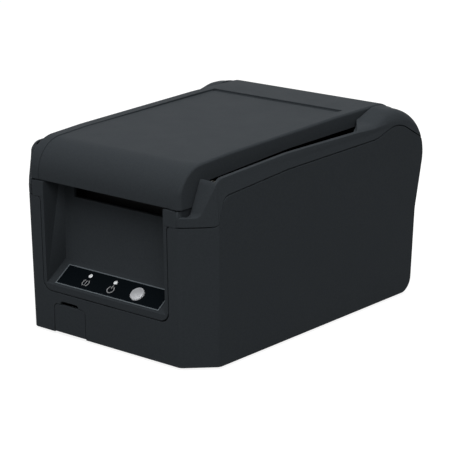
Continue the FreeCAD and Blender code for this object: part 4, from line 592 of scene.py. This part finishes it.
def raise_ink():
    """Give the flat print of the active piece its thickness, in edit mode."""
    bpy.ops.mesh.select_all(action="SELECT")
    bpy.ops.mesh.extrude_region_move(TRANSFORM_OT_translate={"value": (0, 0, INK)})
    bpy.ops.mesh.select_all(action="SELECT")
    bpy.ops.mesh.normals_make_consistent(inside=False)
    bpy.ops.object.mode_set(mode="OBJECT")


def lay_on_slope(piece, material):
    """Turn a piece that was drawn level onto the sloped floor."""
    bpy.ops.object.transform_apply(location=True, rotation=True, scale=True)
    piece.rotation_euler = (SLOPE, 0, 0)
    piece.location = SLOPE_FOOT
    bpy.ops.object.transform_apply(location=True, rotation=True, scale=True)
    piece.data.materials.append(material)
    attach(piece, "case")
    print("printed", piece.name, len(piece.data.polygons), "faces")


# %% Lay the grey border on the film
# Half width of the film, its lower and upper end up the slope, and its height over the slope.
FILM_HALF = 42.4 * MM
FILM_LOW = 1.7 * MM
FILM_HIGH = 17.5 * MM
FILM_TOP = 0.29 * MM
BORDER = 0.75 * MM

bpy.ops.object.select_all(action="DESELECT")
bpy.ops.mesh.primitive_plane_add(size=1, location=(0, (FILM_LOW + FILM_HIGH) / 2, FILM_TOP))
border = bpy.context.object
border.name = "film_border"
border.scale = (2 * FILM_HALF, FILM_HIGH - FILM_LOW, 1)
bpy.ops.object.transform_apply(location=True, scale=True)
bpy.ops.object.mode_set(mode="EDIT")
bpy.ops.mesh.select_all(action="SELECT")
bpy.ops.mesh.inset(thickness=BORDER)
bpy.ops.mesh.delete(type="FACE")
raise_ink()
lay_on_slope(border, grey_print)

# %% [markdown]
# ## Marks under the lights
#
# The left light warns, so it gets a bar and a dot between two arcs. The middle one shows power, with
# the usual open ring and stem. They could be curves with a width, but faces of a mesh are easier to count
# and to cut. So both start as a disc: an inset leaves a ring, faces of the ring are taken out for its
# gaps, and small planes make the bars.

# %% Helper that draws a mark
MARK_LEVEL = 7.3 * MM
MARK_RADIUS = 2.7 * MM
MARK_POINTS = 72
STROKE = 0.6 * MM


def draw_mark(name, across, gaps, bars):
    """A ring with gaps of (angle, half width) in degrees, and bars of (up, length), on the film."""
    bpy.ops.object.select_all(action="DESELECT")
    place = Vector((across, MARK_LEVEL, FILM_TOP))
    bpy.ops.mesh.primitive_circle_add(
        vertices=MARK_POINTS, radius=MARK_RADIUS, fill_type="NGON", location=place
    )
    mark = bpy.context.object
    mark.name = name
    bpy.ops.object.mode_set(mode="EDIT")
    bpy.ops.mesh.select_all(action="SELECT")
    bpy.ops.mesh.inset(thickness=STROKE)
    bpy.ops.mesh.delete(type="FACE")
    bpy.ops.mesh.select_mode(type="FACE")
    mesh = bmesh.from_edit_mesh(mark.data)
    for face in mesh.faces:
        middle = face.calc_center_median()
        angle = math.degrees(math.atan2(middle.y, middle.x))
        face.select_set(any(abs(angle - at) < half for at, half in gaps))
    bmesh.update_edit_mesh(mark.data)
    bpy.ops.mesh.delete(type="FACE")
    for up, length in bars:
        centre = place + Vector((0, up, 0))
        bpy.ops.mesh.select_all(action="DESELECT")
        bpy.ops.mesh.primitive_plane_add(size=1, location=centre)
        bpy.ops.transform.resize(value=(STROKE, length, 1), center_override=centre)
    raise_ink()
    lay_on_slope(mark, pale_print)


# %% Draw the two marks
WARNING_ACROSS = -20.7 * MM
WARNING_GAPS = [(90, 32), (-90, 32)]
WARNING_BARS = [(0.5 * MM, 2.4 * MM), (-1.6 * MM, 0.7 * MM)]
POWER_ACROSS = 0
POWER_GAPS = [(90, 30)]
POWER_BARS = [(2.2 * MM, 2.6 * MM)]

draw_mark("warning_mark", WARNING_ACROSS, WARNING_GAPS, WARNING_BARS)
draw_mark("power_mark", POWER_ACROSS, POWER_GAPS, POWER_BARS)

# %% [markdown]
# ## Button and lights
#
# The feed button is silver, with a rounded rim and a low dome for the fingertip. The lights are
# small milky domes. Both could be new spheres cut off by a plane. Copies of the drawing's solids are
# chosen, because they fit their holes: the flat top is inset ring by ring, and each ring is moved a
# little along the slope's normal.

# %% Helpers that shape the flat tops
SLOPE_UP = Vector((0, -math.sin(SLOPE), math.cos(SLOPE)))
DOME_SMOOTH = math.radians(40)


def select_tops(piece):
    """Select the faces of the piece that lie on its highest level over the slope, in edit mode."""
    bpy.ops.object.mode_set(mode="EDIT")
    bpy.ops.mesh.select_mode(type="FACE")
    bpy.ops.mesh.select_all(action="DESELECT")
    mesh = bmesh.from_edit_mesh(piece.data)
    highest = max(vertex.co.dot(SLOPE_UP) for vertex in mesh.verts)
    for face in mesh.faces:
        level = all(highest - vertex.co.dot(SLOPE_UP) < MERGE_WITHIN for vertex in face.verts)
        face.select_set(level and face.normal.dot(SLOPE_UP) > FACING)
    bmesh.update_edit_mesh(piece.data)


def shape_tops(piece, rings):
    """Inset the selected tops by (width, rise) for each ring and move what is left."""
    for width, rise in rings:
        bpy.ops.mesh.inset(thickness=width, use_boundary=True)
        bpy.ops.transform.translate(value=SLOPE_UP * rise)
    bpy.ops.object.mode_set(mode="OBJECT")
    bpy.ops.object.shade_smooth_by_angle(angle=DOME_SMOOTH)
    print("shaped", piece.name, "with", len(rings), "rings,", len(piece.data.polygons), "faces")


# %% Shape the button
BUTTON_DROP = 0.5 * MM
BUTTON_RINGS = [
    (0.25 * MM, 0.14 * MM),
    (0.3 * MM, 0.08 * MM),
    (0.6 * MM, 0.08 * MM),
    (0.8 * MM, 0.08 * MM),
    (1.0 * MM, 0.07 * MM),
    (0.9 * MM, 0.05 * MM),
]

cap = copy_of("feed_button", "button_cap")
select_tops(cap)
bpy.ops.transform.translate(value=SLOPE_UP * -BUTTON_DROP)
shape_tops(cap, BUTTON_RINGS)
dress(cap, "button_silver")
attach(cap, "button")
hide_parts("feed_button")

# %% Shape the lights
LENS_RINGS = [
    (0.3 * MM, 0.16 * MM),
    (0.4 * MM, 0.1 * MM),
    (0.4 * MM, 0.04 * MM),
]

domes = copy_of("status_lenses", "light_domes")
select_tops(domes)
shape_tops(domes, LENS_RINGS)
dress(domes, "lens_clear")
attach(domes, "case")
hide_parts("status_lenses")
